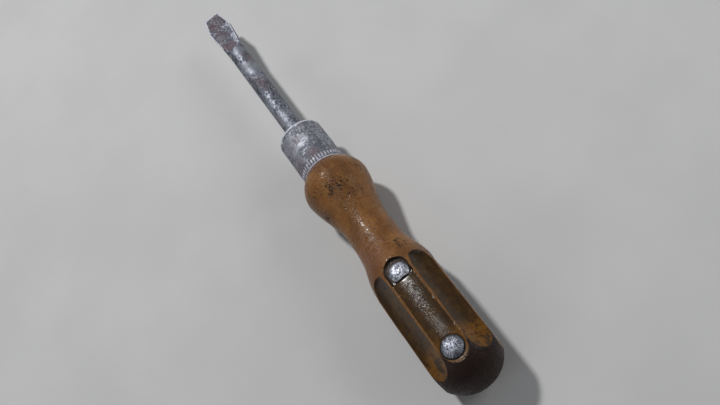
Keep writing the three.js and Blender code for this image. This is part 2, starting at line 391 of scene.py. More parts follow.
    @staticmethod
    def combined(piece: bpy.types.Object, tool: bpy.types.Object, operation: str) -> None:
        """Cuts, joins or intersects a piece with a tool, and throws the tool away."""
        Bench.modified(piece, "BOOLEAN", object=tool, operation=operation, solver="EXACT")
        bpy.data.objects.remove(tool)

    @staticmethod
    def skinned(piece: bpy.types.Object, cell: float, passes: int) -> None:
        """Rebuilds a piece's skin from small even faces and rubs its edges down.

        Args:
            piece: the piece to change.
            cell: the size of the new faces, in millimetres.
            passes: how many times the skin is smoothed.
        """
        Bench.modified(piece, "REMESH", mode="VOXEL", voxel_size=cell * MM, adaptivity=0.0)
        Bench.modified(piece, "SMOOTH", factor=0.5, iterations=passes)

    @staticmethod
    def uneven(piece: bpy.types.Object, period: float, depth: float) -> None:
        """Makes a piece's surface uneven, with soft hollows and rises.

        Args:
            piece: the piece to change.
            period: the size of the hollows, in millimetres.
            depth: from the lowest hollow to the highest rise, in millimetres.
        """
        texture = bpy.data.textures.new(f"{piece.name}_uneven", "CLOUDS")
        texture.noise_scale = period * MM
        texture.noise_depth = 2
        Bench.modified(
            piece, "DISPLACE", texture=texture, strength=depth * MM, texture_coords="LOCAL"
        )

    @staticmethod
    def dented(piece: bpy.types.Object, knocks: Sequence[Knock]) -> None:
        """Pushes small dents into a piece, each about the vertex nearest to its place.

        Args:
            piece: the piece to dent.
            knocks: the dents.
        """
        Bench.edit(piece)
        mesh = bmesh.from_edit_mesh(piece.data)
        mesh.verts.ensure_lookup_table()
        tree = KDTree(len(mesh.verts))
        for vertex in mesh.verts:
            tree.insert(vertex.co, vertex.index)
        tree.balance()
        for knock in knocks:
            bpy.ops.mesh.select_all(action="DESELECT")
            mesh = bmesh.from_edit_mesh(piece.data)
            mesh.verts.ensure_lookup_table()
            vertex = mesh.verts[tree.find(knock.place)[1]]
            vertex.select_set(True)
            push = vertex.normal * (-knock.depth * MM)
            bmesh.update_edit_mesh(piece.data)
            bpy.ops.transform.translate(
                value=tuple(push),
                use_proportional_edit=True,
                proportional_edit_falloff="SMOOTH",
                proportional_size=knock.radius * MM,
            )
        bpy.ops.object.mode_set(mode="OBJECT")

    @staticmethod
    def smooth_shaded(piece: bpy.types.Object, degrees: float | None = None) -> None:
        """Shades a piece smoothly, keeping edges sharper than an angle where one is given.

        Args:
            piece: the piece to shade.
            degrees: the angle, or None where no edge stays sharp.
        """
        Bench.take(piece)
        if degrees is None:
            bpy.ops.object.shade_smooth()
        else:
            bpy.ops.object.shade_smooth_by_angle(angle=math.radians(degrees))


@dataclass(frozen=True)
class Knock:
    """One dent: its place in metres, and its radius and depth in millimetres."""

    place: Vector
    radius: float
    depth: float


class Ledger:
    """Point attributes that the finishes read from a piece's mesh."""

    @staticmethod
    def write(piece: bpy.types.Object, name: str, values: np.ndarray) -> None:
        """Stores one number for each vertex."""
        attribute = piece.data.attributes.new(name, "FLOAT", "POINT")
        attribute.data.foreach_set("value", values.astype(np.float32))

    @staticmethod
    def places(piece: bpy.types.Object) -> np.ndarray:
        """Gives the vertices' places in metres, one row each.

        Args:
            piece: the piece to read.

        Returns:
            A row of three numbers for each vertex.
        """
        places = np.empty(3 * len(piece.data.vertices), np.float32)
        piece.data.vertices.foreach_get("co", places)
        return places.reshape(-1, 3).astype(float)

    @staticmethod
    def proudness(piece: bpy.types.Object, passes: int) -> np.ndarray:
        """Measures how far each vertex stands proud of its surroundings.

        Args:
            piece: the piece to measure.
            passes: how many rings of neighbours count as the surroundings.

        Returns:
            Millimetres for each vertex, above zero on ridges and below zero in hollows.
        """
        mesh = piece.data
        edges = np.empty(2 * len(mesh.edges), np.int32)
        mesh.edges.foreach_get("vertices", edges)
        first, second = edges.reshape(-1, 2).T
        normals = np.empty(3 * len(mesh.vertices), np.float32)
        mesh.vertices.foreach_get("normal", normals)
        places = Ledger.places(piece)
        count = len(places)
        neighbours = np.maximum(np.bincount(np.concatenate((first, second)), minlength=count), 1)

        def averaged(values: np.ndarray) -> np.ndarray:
            """Moves each vertex's value halfway to the mean of its neighbours' values.

            Args:
                values: one number for each vertex.

            Returns:
                The new numbers.
            """
            total = np.bincount(first, values[second], count)
            total += np.bincount(second, values[first], count)
            return 0.5 * values + 0.5 * total / neighbours

        ground = places.copy()
        for _ in range(passes):
            for axis in range(3):
                ground[:, axis] = averaged(ground[:, axis])
        proud = np.einsum("ij,ij->i", places - ground, normals.reshape(-1, 3)) / MM
        return averaged(averaged(proud))


@dataclass(frozen=True)
class Spot:
    """A patch on a piece.

    Attributes:
        middle: its middle, in metres.
        radius: in millimetres.
        reach: how many times longer it is along each axis.
    """

    middle: Vector
    radius: float
    reach: Colour = (1.0, 1.0, 1.0)


class Shader:
    """One material's node tree, with a method for each kind of pattern the finishes use."""

    def __init__(self, name: str) -> None:
        """Starts a material with one Principled shader.

        Args:
            name: the material's name.
        """
        self.material = bpy.data.materials.new(name)
        self.material.use_nodes = True
        self.tree = self.material.node_tree
        self.tree.nodes.clear()
        output = self.node("ShaderNodeOutputMaterial")
        self.surface = self.node("ShaderNodeBsdfPrincipled")
        self.tree.links.new(self.surface.outputs["BSDF"], output.inputs["Surface"])
        self.place = self.node("ShaderNodeTexCoord").outputs["Object"]

    def node(self, kind: str, **settings: Any) -> bpy.types.Node:
        """Adds a node.

        Args:
            kind: Blender's name for the node's type.
            **settings: the node's own settings.

        Returns:
            The node.
        """
        node = self.tree.nodes.new(kind)
        for setting, value in settings.items():
            setattr(node, setting, value)
        return node

    def feed(self, socket: Socket, value: Any) -> None:
        """Links a socket to another, or sets its number or colour.

        Args:
            socket: the input to feed.
            value: another node's output, or a constant.
        """
        if isinstance(value, bpy.types.NodeSocket):
            self.tree.links.new(value, socket)
        elif isinstance(value, tuple) and len(value) == 3 and socket.type == "RGBA":
            socket.default_value = (*value, 1.0)
        else:
            socket.default_value = value

    def set(self, **values: Any) -> None:
        """Feeds the shader's inputs, named with underscores for spaces."""
        for name, value in values.items():
            self.feed(self.surface.inputs[name.replace("_", " ")], value)

    def mapped(self, place: Socket, **changes: Sequence[float]) -> Socket:
        """Scales, turns and shifts a place, in that order.

        Args:
            place: the place to change.
            **changes: the Location, Rotation or Scale to apply.

        Returns:
            The new place.
        """
        mapping = self.node("ShaderNodeMapping", vector_type="POINT")
        self.feed(mapping.inputs["Vector"], place)
        for name, change in changes.items():
            mapping.inputs[name].default_value = change
        return mapping.outputs["Vector"]

    def stretched(self, stretch: Colour, turn: Colour = (0, 0, 0)) -> Socket:
        """Gives the place turned, then shrunk along each axis so that patterns stretch there."""
        turned = self.mapped(self.place, Rotation=tuple(math.radians(a) for a in turn))
        return self.mapped(turned, Scale=tuple(1 / s for s in stretch))

    def noise(
        self,
        period: float,
        stretch: Colour = (1, 1, 1),
        detail: float = 3.0,
        roughness: float = 0.55,
        turn: Colour = (0, 0, 0),
        seed: float = 0.0,
    ) -> Socket:
        """Adds cloudy noise.

        Args:
            period: the size of its blotches, in millimetres.
            stretch: how many times longer the blotches are along each axis.
            detail: octaves of finer noise.
            roughness: how strong the finer noise is.
            turn: degrees about each axis, applied before the stretch.
            seed: any number, to tell patterns of the same size apart.

        Returns:
            A value of about 0.5, mostly between 0.25 and 0.75.
        """
        noise = self.node("ShaderNodeTexNoise", noise_dimensions="4D")
        self.feed(noise.inputs["Vector"], self.stretched(stretch, turn))
        self.feed(noise.inputs["W"], seed)
        self.feed(noise.inputs["Scale"], 1 / (period * MM))
        self.feed(noise.inputs["Detail"], detail)
        self.feed(noise.inputs["Roughness"], roughness)
        return noise.outputs["Fac"]

    def cells(self, period: float) -> Socket:
        """Scatters cells about one period apart.

        Args:
            period: in millimetres.

        Returns:
            The distance from the nearest cell's middle, as a share of the period.
        """
        cells = self.node("ShaderNodeTexVoronoi")
        self.feed(cells.inputs["Vector"], self.place)
        self.feed(cells.inputs["Scale"], 1 / (period * MM))
        return cells.outputs["Distance"]

    def ranged(self, value: Socket, source: Mark, target: Mark, curve: str = "LINEAR") -> Socket:
        """Maps one range of a value onto another, and holds it there beyond the ends.

        Args:
            value: the value to map.
            source: the range to read.
            target: what its two ends become.
            curve: Blender's name for the way from one end to the other.

        Returns:
            The mapped value.
        """
        node = self.node("ShaderNodeMapRange", interpolation_type=curve)
        inputs = ("Value", "From Min", "From Max", "To Min", "To Max")
        for name, number in zip(inputs, (value, *source, *target)):
            self.feed(node.inputs[name], number)
        return node.outputs["Result"]

    def step(self, value: Socket, low: float, high: float) -> Socket:
        """Turns a value into 0 below low and 1 above high, or the other way if low is larger."""
        target = (0.0, 1.0) if low < high else (1.0, 0.0)
        return self.ranged(value, (min(low, high), max(low, high)), target, "SMOOTHSTEP")

    def level(self, value: Socket, low: float, high: float) -> Socket:
        """Maps a noise's usual range onto low to high."""
        return self.ranged(value, USUAL_NOISE, (low, high))

    def maths(self, operation: str, first: Any, second: Any) -> Socket:
        """Adds a maths node.

        Args:
            operation: Blender's name for what it does.
            first: its first value.
            second: its second value.

        Returns:
            The result.
        """
        node = self.node("ShaderNodeMath", operation=operation)
        self.feed(node.inputs[0], first)
        self.feed(node.inputs[1], second)
        return node.outputs["Value"]

    def folded(self, operation: str, values: Sequence[Any]) -> Any:
        """Joins values with one operation, from the first to the last."""
        return reduce(lambda first, second: self.maths(operation, first, second), values)

    def times(self, *values: Any) -> Socket:
        """Multiplies values."""
        return self.folded("MULTIPLY", values)

    def plus(self, *values: Any) -> Socket:
        """Adds values up."""
        return self.folded("ADD", values)

    def greatest(self, *values: Any) -> Socket:
        """Gives the greatest of some values."""
        return self.folded("MAXIMUM", values)

    def inverse(self, value: Socket) -> Socket:
        """Gives one minus a value."""
        return self.maths("SUBTRACT", 1.0, value)

    def blend(self, amount: Any, under: Any, over: Any, kind: str = "MIX") -> Socket:
        """Lays one colour over another.

        Args:
            amount: how much of the upper colour shows, from 0 to 1.
            under: the lower colour.
            over: the upper colour.
            kind: Blender's name for the way they mix.

        Returns:
            The mixed colour.
        """
        mix = self.node("ShaderNodeMix", data_type="RGBA", blend_type=kind)
        mix.clamp_factor = True
        self.feed(mix.inputs[0], amount)
        self.feed(mix.inputs[6], under)
        self.feed(mix.inputs[7], over)
        return mix.outputs[2]

    def recorded(self, name: str) -> Socket:
        """Reads a point attribute of the piece."""
        return self.node("ShaderNodeAttribute", attribute_name=name).outputs["Fac"]

    def along(self) -> Socket:
        """Measures along the tool.

        Returns:
            The place's X, in metres.
        """
        parts = self.node("ShaderNodeSeparateXYZ")
        self.feed(parts.inputs["Vector"], self.place)
        return parts.outputs["X"]

    def near(self, spot: Spot) -> Socket:
        """Marks one spot.

        Args:
            spot: the spot to mark.

        Returns:
            1 in its middle, falling to 0 at its radius.
        """
        scale = tuple(1 / (spot.radius * MM * reach) for reach in spot.reach)
        shift = tuple(-c * s for c, s in zip(spot.middle, scale))
        length = self.node("ShaderNodeVectorMath", operation="LENGTH")
        self.feed(length.inputs[0], self.mapped(self.place, Location=shift, Scale=scale))
        return self.step(length.outputs["Value"], 1.0, 0.0)

    def crowd(self, spots: Sequence[Spot]) -> Socket | float:
        """Gives 1 in the middle of any spot, falling to 0 at its edge."""
        return self.greatest(0.0, *(self.near(spot) for spot in spots))

    def raised(self, height: Socket, depth: float, under: Socket | None = None) -> Socket:
        """Adds a bump.

        Args:
            height: the relief, from 0 to 1.
            depth: how deep all of it is, in millimetres.
            under: an earlier bump to lie over, if any.

        Returns:
            The bumped normal.
        """
        bump = self.node("ShaderNodeBump")
        self.feed(bump.inputs["Height"], height)
        self.feed(bump.inputs["Distance"], depth * MM)
        if under is not None:
            self.feed(bump.inputs["Normal"], under)
        return bump.outputs["Normal"]


class Lay(Enum):
    """The way that fine scratches run on a steel surface."""

    LENGTHWISE = (14.0, 1.0, 1.0)
    ALL_WAYS = (1.0, 1.0, 1.0)


@dataclass(frozen=True)
class WornSteel:
    """Old bare steel: dull patches, rust stain, pits, scratches, edges rubbed bright, and painted
    highlights on a front rim and on some brighter patches.

    Attributes:
        name: the material's name.
        dull: colour of the oxidised skin.
        bright: colour where it is rubbed.
        stain: colour of the rust.
        lay: the way that the scratches run.
        stains: places that are rustier.
        rubs_and_highlights: places that are brighter, worn and on the ferrule's left partly a
            painted highlight.
        scuffs: places scratched bright across the tool.
        rim: a point on a front rim that gets a painted highlight, or None where there is no such
            rim.
        worn_edge: how proud, in millimetres, an edge starts to be bright and is fully bright.
        roughness: of the dull skin.
        pit_depth: in millimetres.
    """

    name: str
    dull: Colour
    bright: Colour
    stain: Colour
    lay: Lay
    stains: tuple[Spot, ...]
    rubs_and_highlights: tuple[Spot, ...]
    scuffs: tuple[Spot, ...] = ()
    rim: Vector | None = None
    worn_edge: Mark = (0.007, 0.024)
    roughness: float = 0.66
    pit_depth: float = 0.07

    def material(self) -> bpy.types.Material:
        """Builds the material.

        Returns:
            The material.
        """
        s = Shader(self.name)

        # Where the steel is worn to lighter patches (on the ferrule's left partly a painted
        # highlight), rusty, flecked, scratched, worn at its edges and pitted
        patches = s.noise(6.0, (1.8, 1, 1), 6, 0.6)
        speckle = s.noise(0.9, (1.3, 1, 1), 4, 0.65, seed=3)
        rusty = s.crowd(self.stains)
        mottled = s.plus(s.times(patches, 0.55), s.times(speckle, 0.45))
        # The ferrule's patches on its left are partly worn steel and partly a painted highlight
        mottled = s.plus(mottled, s.times(s.crowd(self.rubs_and_highlights), 0.13), s.times(rusty, -0.09))
        rubbed_and_sheen = s.step(mottled, 0.47, 0.56)
        clouds = s.noise(8.0, (1.6, 1, 1), 5, 0.6, seed=8)
        rust = s.step(s.plus(clouds, s.times(rusty, 0.16)), 0.47, 0.68)
        flecks = s.step(speckle, 0.53, 0.63)
        hairs = s.step(s.noise(0.35, self.lay.value, 2, 0.5, turn=(0, 4, 7), seed=1), 0.55, 0.64)
        cross = s.step(s.noise(0.3, (1, 16, 2), 1, 0.5, turn=(20, 15, 38), seed=5), 0.6, 0.66)
        scratches = s.greatest(s.times(hairs, 0.7), s.times(cross, 0.8))
        hollows = s.step(s.recorded("proud"), -0.012, -0.08)
        pits = s.step(s.plus(s.cells(1.3), s.times(speckle, 0.5)), 0.5, 0.3)

        # Colour, from the skin up to its brightest marks
        colour = s.blend(rubbed_and_sheen, self.dull, self.rubbed_and_highlight_tone())
        colour = s.blend(s.times(rust, 0.8), colour, self.stain)
        marks = s.greatest(s.times(flecks, 0.5), s.times(scratches, 0.55))
        colour = s.blend(s.times(marks, s.inverse(s.times(rust, 0.5))), colour, self.bright)
        colour = s.blend(s.times(pits, 0.6), colour, tuple(0.35 * c for c in self.dull))
        colour = s.blend(s.times(hollows, 0.8), colour, tuple(0.3 * c for c in self.stain))
        for spot in self.scuffs:
            strokes = s.step(s.noise(0.9, (1, 5, 5), 4, 0.65, turn=(0, 0, 12), seed=9), 0.44, 0.56)
            strokes = s.times(strokes, s.step(s.near(spot), 0.05, 0.3))
            colour = s.blend(s.times(strokes, 0.8), colour, self.bright)
        # Edges worn bright, with a painted highlight round a front rim
        edges = self.edges(s)
        edge_wear_and_rim_highlight = tuple(1.5 * b for b in self.bright)
        colour = s.blend(s.times(edges, s.level(speckle, 0.5, 1.0)), colour, edge_wear_and_rim_highlight)

        # Gloss and relief
        roughness = s.plus(self.roughness, s.times(rust, 0.12), s.times(flecks, -0.08))
        height = s.plus(s.times(speckle, 0.8), s.times(patches, 0.5), s.times(pits, -0.6))
        height = s.plus(height, s.times(scratches, -0.3), s.times(rust, 0.25))
        s.set(
            Base_Color=colour,
            Metallic=s.times(s.plus(0.8, s.times(rust, -0.35)), s.inverse(s.times(edges, 0.6))),
            Roughness=s.plus(roughness, s.times(rubbed_and_sheen, -0.05)),
            Normal=s.raised(height, self.pit_depth),
        )
        return s.material

    def edges(self, s: Shader) -> Socket:
        """Marks the edges that are worn bright, and a painted highlight round the front rim where
        there is one.

        Args:
            s: the shader to add to.

        Returns:
            1 on a worn edge and on the rim's painted highlight, and 0 elsewhere.
        """
        edges = s.step(s.recorded("proud"), *self.worn_edge)
        if self.rim:
            # A painted highlight round the front rim
            front = s.step(s.along(), self.rim.x + 1.4 * MM, self.rim.x + 0.8 * MM)
            edges = s.greatest(edges, s.times(front, 0.9))
        return edges

    def rubbed_and_highlight_tone(self) -> Colour:
        """Gives the colour of lightly worn skin, also used for the ferrule's painted highlight,
        between the dull and the bright steel.
        """
        return tuple(0.55 * d + 0.45 * b for d, b in zip(self.dull, self.bright))


@dataclass(frozen=True)
class RivetSteel:
    """Steel heads polished by the hand, with dark specks and sometimes strokes left in them.

    Attributes:
        name: the material's name.
        bright: colour of the polished steel.
        centre: the middle of a head with strokes running out to its rim, or None.
        strokes: about how many strokes there are.
        dull: colour of the steel between the polished spots.
        speck: colour of the specks.
    """

    name: str
    bright: Colour
    centre: Vector | None = None
    strokes: int = 40
    dull: Colour = (0.15, 0.155, 0.19)
    speck: Colour = (0.05, 0.047, 0.055)

    def material(self) -> bpy.types.Material:
        """Builds the material.

        Returns:
            The material.
        """
        s = Shader(self.name)
        clouds = s.noise(1.8, detail=5, roughness=0.65, seed=2)
        grit = s.noise(0.7, detail=4, roughness=0.65, seed=4)
        specks = s.step(s.plus(s.cells(1.1), s.times(grit, 0.6)), 0.60, 0.42)
        hollows = s.step(s.recorded("proud"), -0.004, -0.05)
        mottled = s.plus(s.times(clouds, 0.5), s.times(grit, 0.5))
        colour = s.blend(s.step(mottled, 0.42, 0.58), self.dull, self.bright)
        colour = s.blend(s.times(specks, 0.7), colour, self.speck)
        if self.centre:
            colour = s.blend(self.struck(s), colour, self.speck)
        colour = s.blend(hollows, colour, self.speck)
        height = s.plus(grit, s.times(clouds, 0.8), s.times(specks, -0.7))
        s.set(
            Base_Color=colour,
            Metallic=0.9,
            Roughness=s.plus(s.level(mottled, 0.58, 0.46), s.times(specks, 0.12)),
            Normal=s.raised(height, 0.10),
        )
        return s.material

    def struck(self, s: Shader) -> Socket:
        """Marks the strokes, from near the head's middle out to its rim.

        Args:
            s: the shader to add to.

        Returns:
            Up to 0.75 in a stroke and 0 elsewhere.
        """
        around = s.node("ShaderNodeTexGradient", gradient_type="RADIAL")
        shift = tuple(-c for c in self.centre)
        s.feed(around.inputs["Vector"], s.mapped(s.place, Location=shift))
        spokes = s.node("ShaderNodeTexNoise", noise_dimensions="1D")
        s.feed(spokes.inputs["W"], around.outputs["Fac"])
        s.feed(spokes.inputs["Scale"], self.strokes)
        rim = s.inverse(s.near(Spot(self.centre, 4.6, (1.0, 1.0, 9.0))))
        return s.times(s.step(spokes.outputs["Fac"], 0.47, 0.56), s.step(rim, 0.1, 0.4), 0.75)


@dataclass(frozen=True)
class VarnishedWood:
    """Turned hardwood under old amber varnish, dark in the flutes and light on the ridges.

    Attributes:
        datum: where the tool lies.
        pockets: the rivet heads' seats.
        name: the material's name.
        amber: colour of the sound wood's light parts, beside its brown, red and yellow ones.
        ridge: colour of the ridges, rubbed light.
        end_grain: colour where the flutes run out at the butt.
        flute: colour of the flutes' floors, with olive patches.
        grime_and_shade: colour of old dirt in pits, and of dirt with painted shade in hollows and
            the flutes' front ends.
        dust_and_shade: colour of the rivets' seats: their dirt, with painted shade round the
            heads.
        butt: colour of the dome, dark with dirt and painted shade.
        rubbed_and_sheen: colour of a painted sheen on one side of the neck, where the varnish is
            worn dull.
        lip: stations where the bulb's redder lip starts and ends.
        front: stations where the grip's light ridges fade in.
        scoop: stations where the painted shade on the flutes' front ends fades out.
        run_out: stations where the end grain fades in.
        dome: stations where the dark dome fades in.
        matt: stations where the dome's rougher varnish fades in.
        back: stations where the grip's light ridges fade out.
    """

    datum: Datum
    pockets: tuple[Spot, ...]
    name: str = "varnished_wood"
    amber: Colour = (0.265, 0.115, 0.032)
    brown: Colour = (0.160, 0.066, 0.019)
    red: Colour = (0.165, 0.058, 0.027)
    yellow: Colour = (0.26, 0.135, 0.034)
    ridge: Colour = (0.36, 0.165, 0.070)
    end_grain: Colour = (0.155, 0.066, 0.010)
    flute: Colour = (0.034, 0.018, 0.007)
    olive: Colour = (0.062, 0.032, 0.009)
    grime_and_shade: Colour = (0.011, 0.0075, 0.0055)
    dust_and_shade: Colour = (0.050, 0.036, 0.029)
    butt: Colour = (0.020, 0.0085, 0.0052)
    rubbed_and_sheen: Colour = (0.33, 0.20, 0.14)
    lip: Mark = (113.0, 115.5)
    front: Mark = (164.0, 170.0)
    scoop: Mark = (170.5, 178.0)
    run_out: Mark = (203.0, 210.0)
    dome: Mark = (208.0, 213.0)
    matt: Mark = (211.0, 215.0)
    back: Mark = (213.0, 219.0)

    def past(self, s: Shader, stations: Mark) -> Socket:
        """Gives 0 before the first of two stations and 1 after the second."""
        return s.step(s.along(), *(self.datum.at(station).x for station in stations))

    def material(self) -> bpy.types.Material:
        """Builds the material.

        Returns:
            The material.
        """
        s = Shader(self.name)
        mottle = s.noise(7.0, (1.6, 1, 1), 5, 0.58)
        blotches = s.noise(3.2, (1.8, 1, 1), 5, 0.66, seed=6)
        lathe = s.noise(0.7, (1, 14, 14), 3, 0.6, seed=4)
        speckle = s.noise(0.75, (1.0, 1.5, 1.5), 3, 0.6, seed=5)
        grain = s.step(s.noise(0.55, (1, 1.3, 1.3), 2, 0.6, seed=12), 0.44, 0.56)
        depth = s.recorded("flute_depth")
        proud = s.recorded("proud")

        # Sound wood, with a painted sheen on one side of the neck, where the varnish is worn dull
        colour = self.sound_wood(s, mottle, blotches, lathe, speckle)
        sheen = s.near(Spot(self.datum.around(156.5, 10.2, -14), 11.0, (1.4, 0.7, 0.7)))
        colour = s.blend(s.times(sheen, s.step(speckle, 0.44, 0.60), 0.6), colour, self.rubbed_and_sheen)

        # Flutes and the dome
        floor = s.step(depth, 0.0, 0.13)
        flutes = self.flute_floor(s, blotches, lathe, speckle)
        colour = s.blend(s.times(floor, 0.95), colour, flutes)
        turned = s.step(depth, 0.16, 0.03)
        # The dome is dark with dirt and painted shade
        colour = s.blend(s.times(self.past(s, self.dome), turned), colour, self.butt)

        # Wear, dirt and painted shade: hollows dark with dirt and painted shade, ridges, pits, and
        # the rivets' seats with their dirt and painted shade
        colour = s.blend(s.times(s.step(proud, -0.03, -0.16), 0.75), colour, self.grime_and_shade)
        grip = s.times(self.past(s, self.front), s.inverse(self.past(s, self.back)))
        ridges = s.times(s.step(proud, 0.14, 0.26), s.level(speckle, 0.6, 1.0), grip)
        colour = s.blend(s.times(ridges, 0.85), colour, self.ridge)
        pits = self.pits(s, speckle)
        colour = s.blend(s.times(pits, 0.9), colour, self.grime_and_shade)
        # The rivets' seats and a ring round each head are painted dark: dirt with painted shade
        sunk = s.step(s.crowd(self.pockets), 0.09, 0.15)
        colour = s.blend(sunk, colour, self.dust_and_shade)

        # Gloss and relief, calmer in the flutes
        calm = s.inverse(s.times(floor, 0.88))
        matt = s.plus(s.times(self.past(s, self.matt), 0.2), s.times(sunk, 0.6))
        roughness = s.plus(0.15, s.times(grain, 0.30, calm), matt)
        roughness = s.plus(roughness, s.times(pits, 0.3), s.times(sheen, 0.12))
        height = s.plus(s.times(speckle, 0.6), s.times(grain, 0.3), s.times(lathe, 0.3))
        normal = s.raised(s.times(height, calm), 0.19)
        normal = s.raised(s.inverse(pits), 0.12, normal)
        s.set(Base_Color=colour, Roughness=roughness, Normal=normal)
        s.set(Coat_Weight=0.05, Coat_Roughness=0.10, Coat_Normal=normal, Specular_IOR_Level=0.24)
        return s.material

    def sound_wood(
        self, s: Shader, mottle: Socket, blotches: Socket, lathe: Socket, speckle: Socket
    ) -> Socket:
        """Mixes the varnished wood where it isn't worn or dirty.

        Args:
            s: the shader to add to.
            mottle: wide light and dark patches.
            blotches: smaller patches.
            lathe: fine rings left by turning.
            speckle: fine specks.

        Returns:
            The colour.
        """
        streaks = s.noise(0.8, (12, 1, 1), 4, 0.6, seed=2)
        fibres = s.noise(0.4, (9, 1, 1), 2, 0.5, seed=3)
        streaky = s.blend(streaks, (0.5, 0.5, 0.5), (1.5, 1.5, 1.5))
        flare = s.near(Spot(self.datum.around(163, 11.5, -35), 16, (1.0, 0.9, 0.9)))
        reddish = s.greatest(flare, s.inverse(self.past(s, self.lip)))
        colour = s.blend(s.step(mottle, 0.36, 0.62), self.brown, self.amber)
        colour = s.blend(s.times(s.step(blotches, 0.50, 0.62), 0.5), colour, self.yellow)
        colour = s.blend(s.times(reddish, s.level(mottle, 0.4, 0.9)), colour, self.red)
        colour = s.blend(0.5, colour, streaky, "MULTIPLY")
        colour = s.blend(s.times(s.step(lathe, 0.50, 0.66), 0.7), colour, self.brown)
        colour = s.blend(s.times(s.step(fibres, 0.6, 0.7), 0.3), colour, self.grime_and_shade)
        return s.blend(s.times(s.step(speckle, 0.55, 0.68), 0.3), colour, self.red)

    def flute_floor(self, s: Shader, blotches: Socket, lathe: Socket, speckle: Socket) -> Socket:
        """Mixes the flutes' dark floors: darkest in front, where painted shade darkens their ends,
        with end grain showing at the butt.

        Args:
            s: the shader to add to.
            blotches: patches.
            lathe: fine rings.
            speckle: fine specks.

        Returns:
            The colour.
        """
        colour = s.blend(s.step(blotches, 0.42, 0.62), self.flute, self.olive)
        showing = s.times(self.past(s, self.run_out), s.step(blotches, 0.38, 0.52))
        colour = s.blend(showing, colour, self.end_grain)
        crossed = s.step(s.plus(s.times(lathe, 0.5), s.times(speckle, 0.5)), 0.52, 0.62)
        colour = s.blend(s.times(crossed, 0.45), colour, self.grime_and_shade)
        # Painted shade on the flutes' front ends
        scoop_shade = s.inverse(self.past(s, self.scoop))
        return s.blend(s.times(scoop_shade, 0.6), colour, self.grime_and_shade)

    def pits(self, s: Shader, speckle: Socket) -> Socket:
        """Marks dark pits: thick on the bulb's back, a scratch beside them, and few elsewhere.

        Args:
            s: the shader to add to.
            speckle: fine specks.

        Returns:
            1 in a pit and 0 elsewhere.
        """
        around = self.datum.around
        crowd = s.crowd(
            [
                Spot(around(128.5, 12.4, 3), 7.5, (0.75, 1.2, 1.2)),
                Spot(around(134.0, 11.2, 25), 6.0, (0.45, 1.0, 1.0)),
                Spot(around(123.7, 13.4, 58), 4.5, (0.6, 1.0, 1.0)),
                Spot(around(123.3, 13.4, -34), 3.5),
                Spot(around(133.6, 11.2, -66), 5.5),
                Spot(around(164.5, 11.7, 33), 6.0),
            ]
        )
        flecks = s.noise(0.6, (2.2, 1.0, 1.0), 3, 0.65, turn=(0, 0, -30), seed=11)
        value = s.plus(flecks, s.times(speckle, 0.35), s.times(crowd, 0.13))
        return s.step(value, 0.81, 0.86)


@dataclass
class Piece:
    """A finished piece that stands for one CAD node.

    Attributes:
        datum: where the tool lies.
        node: the CAD node that it stands for.
        slot: the name of the material meant for it; not used.
    """

    datum: Datum
    node: ClassVar[str] = ""
    slot: ClassVar[str] = ""

    def model(self) -> bpy.types.Object:
        """Models the piece's mesh."""
        raise NotImplementedError

    def make(self, material: bpy.types.Material) -> bpy.types.Object:
        """Models the piece, dresses it and sets it in the frame.

        Args:
            material: the piece's finish.

        Returns:
            The finished piece.
        """
        piece = self.model()
        piece.data.materials.clear()
        piece.data.materials.append(material)
        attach(piece, "root")
        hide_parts(self.node)
        mesh = piece.data
        log.info("%s: %d vertices, %d faces", piece.name, len(mesh.vertices), len(mesh.polygons))
        return piece


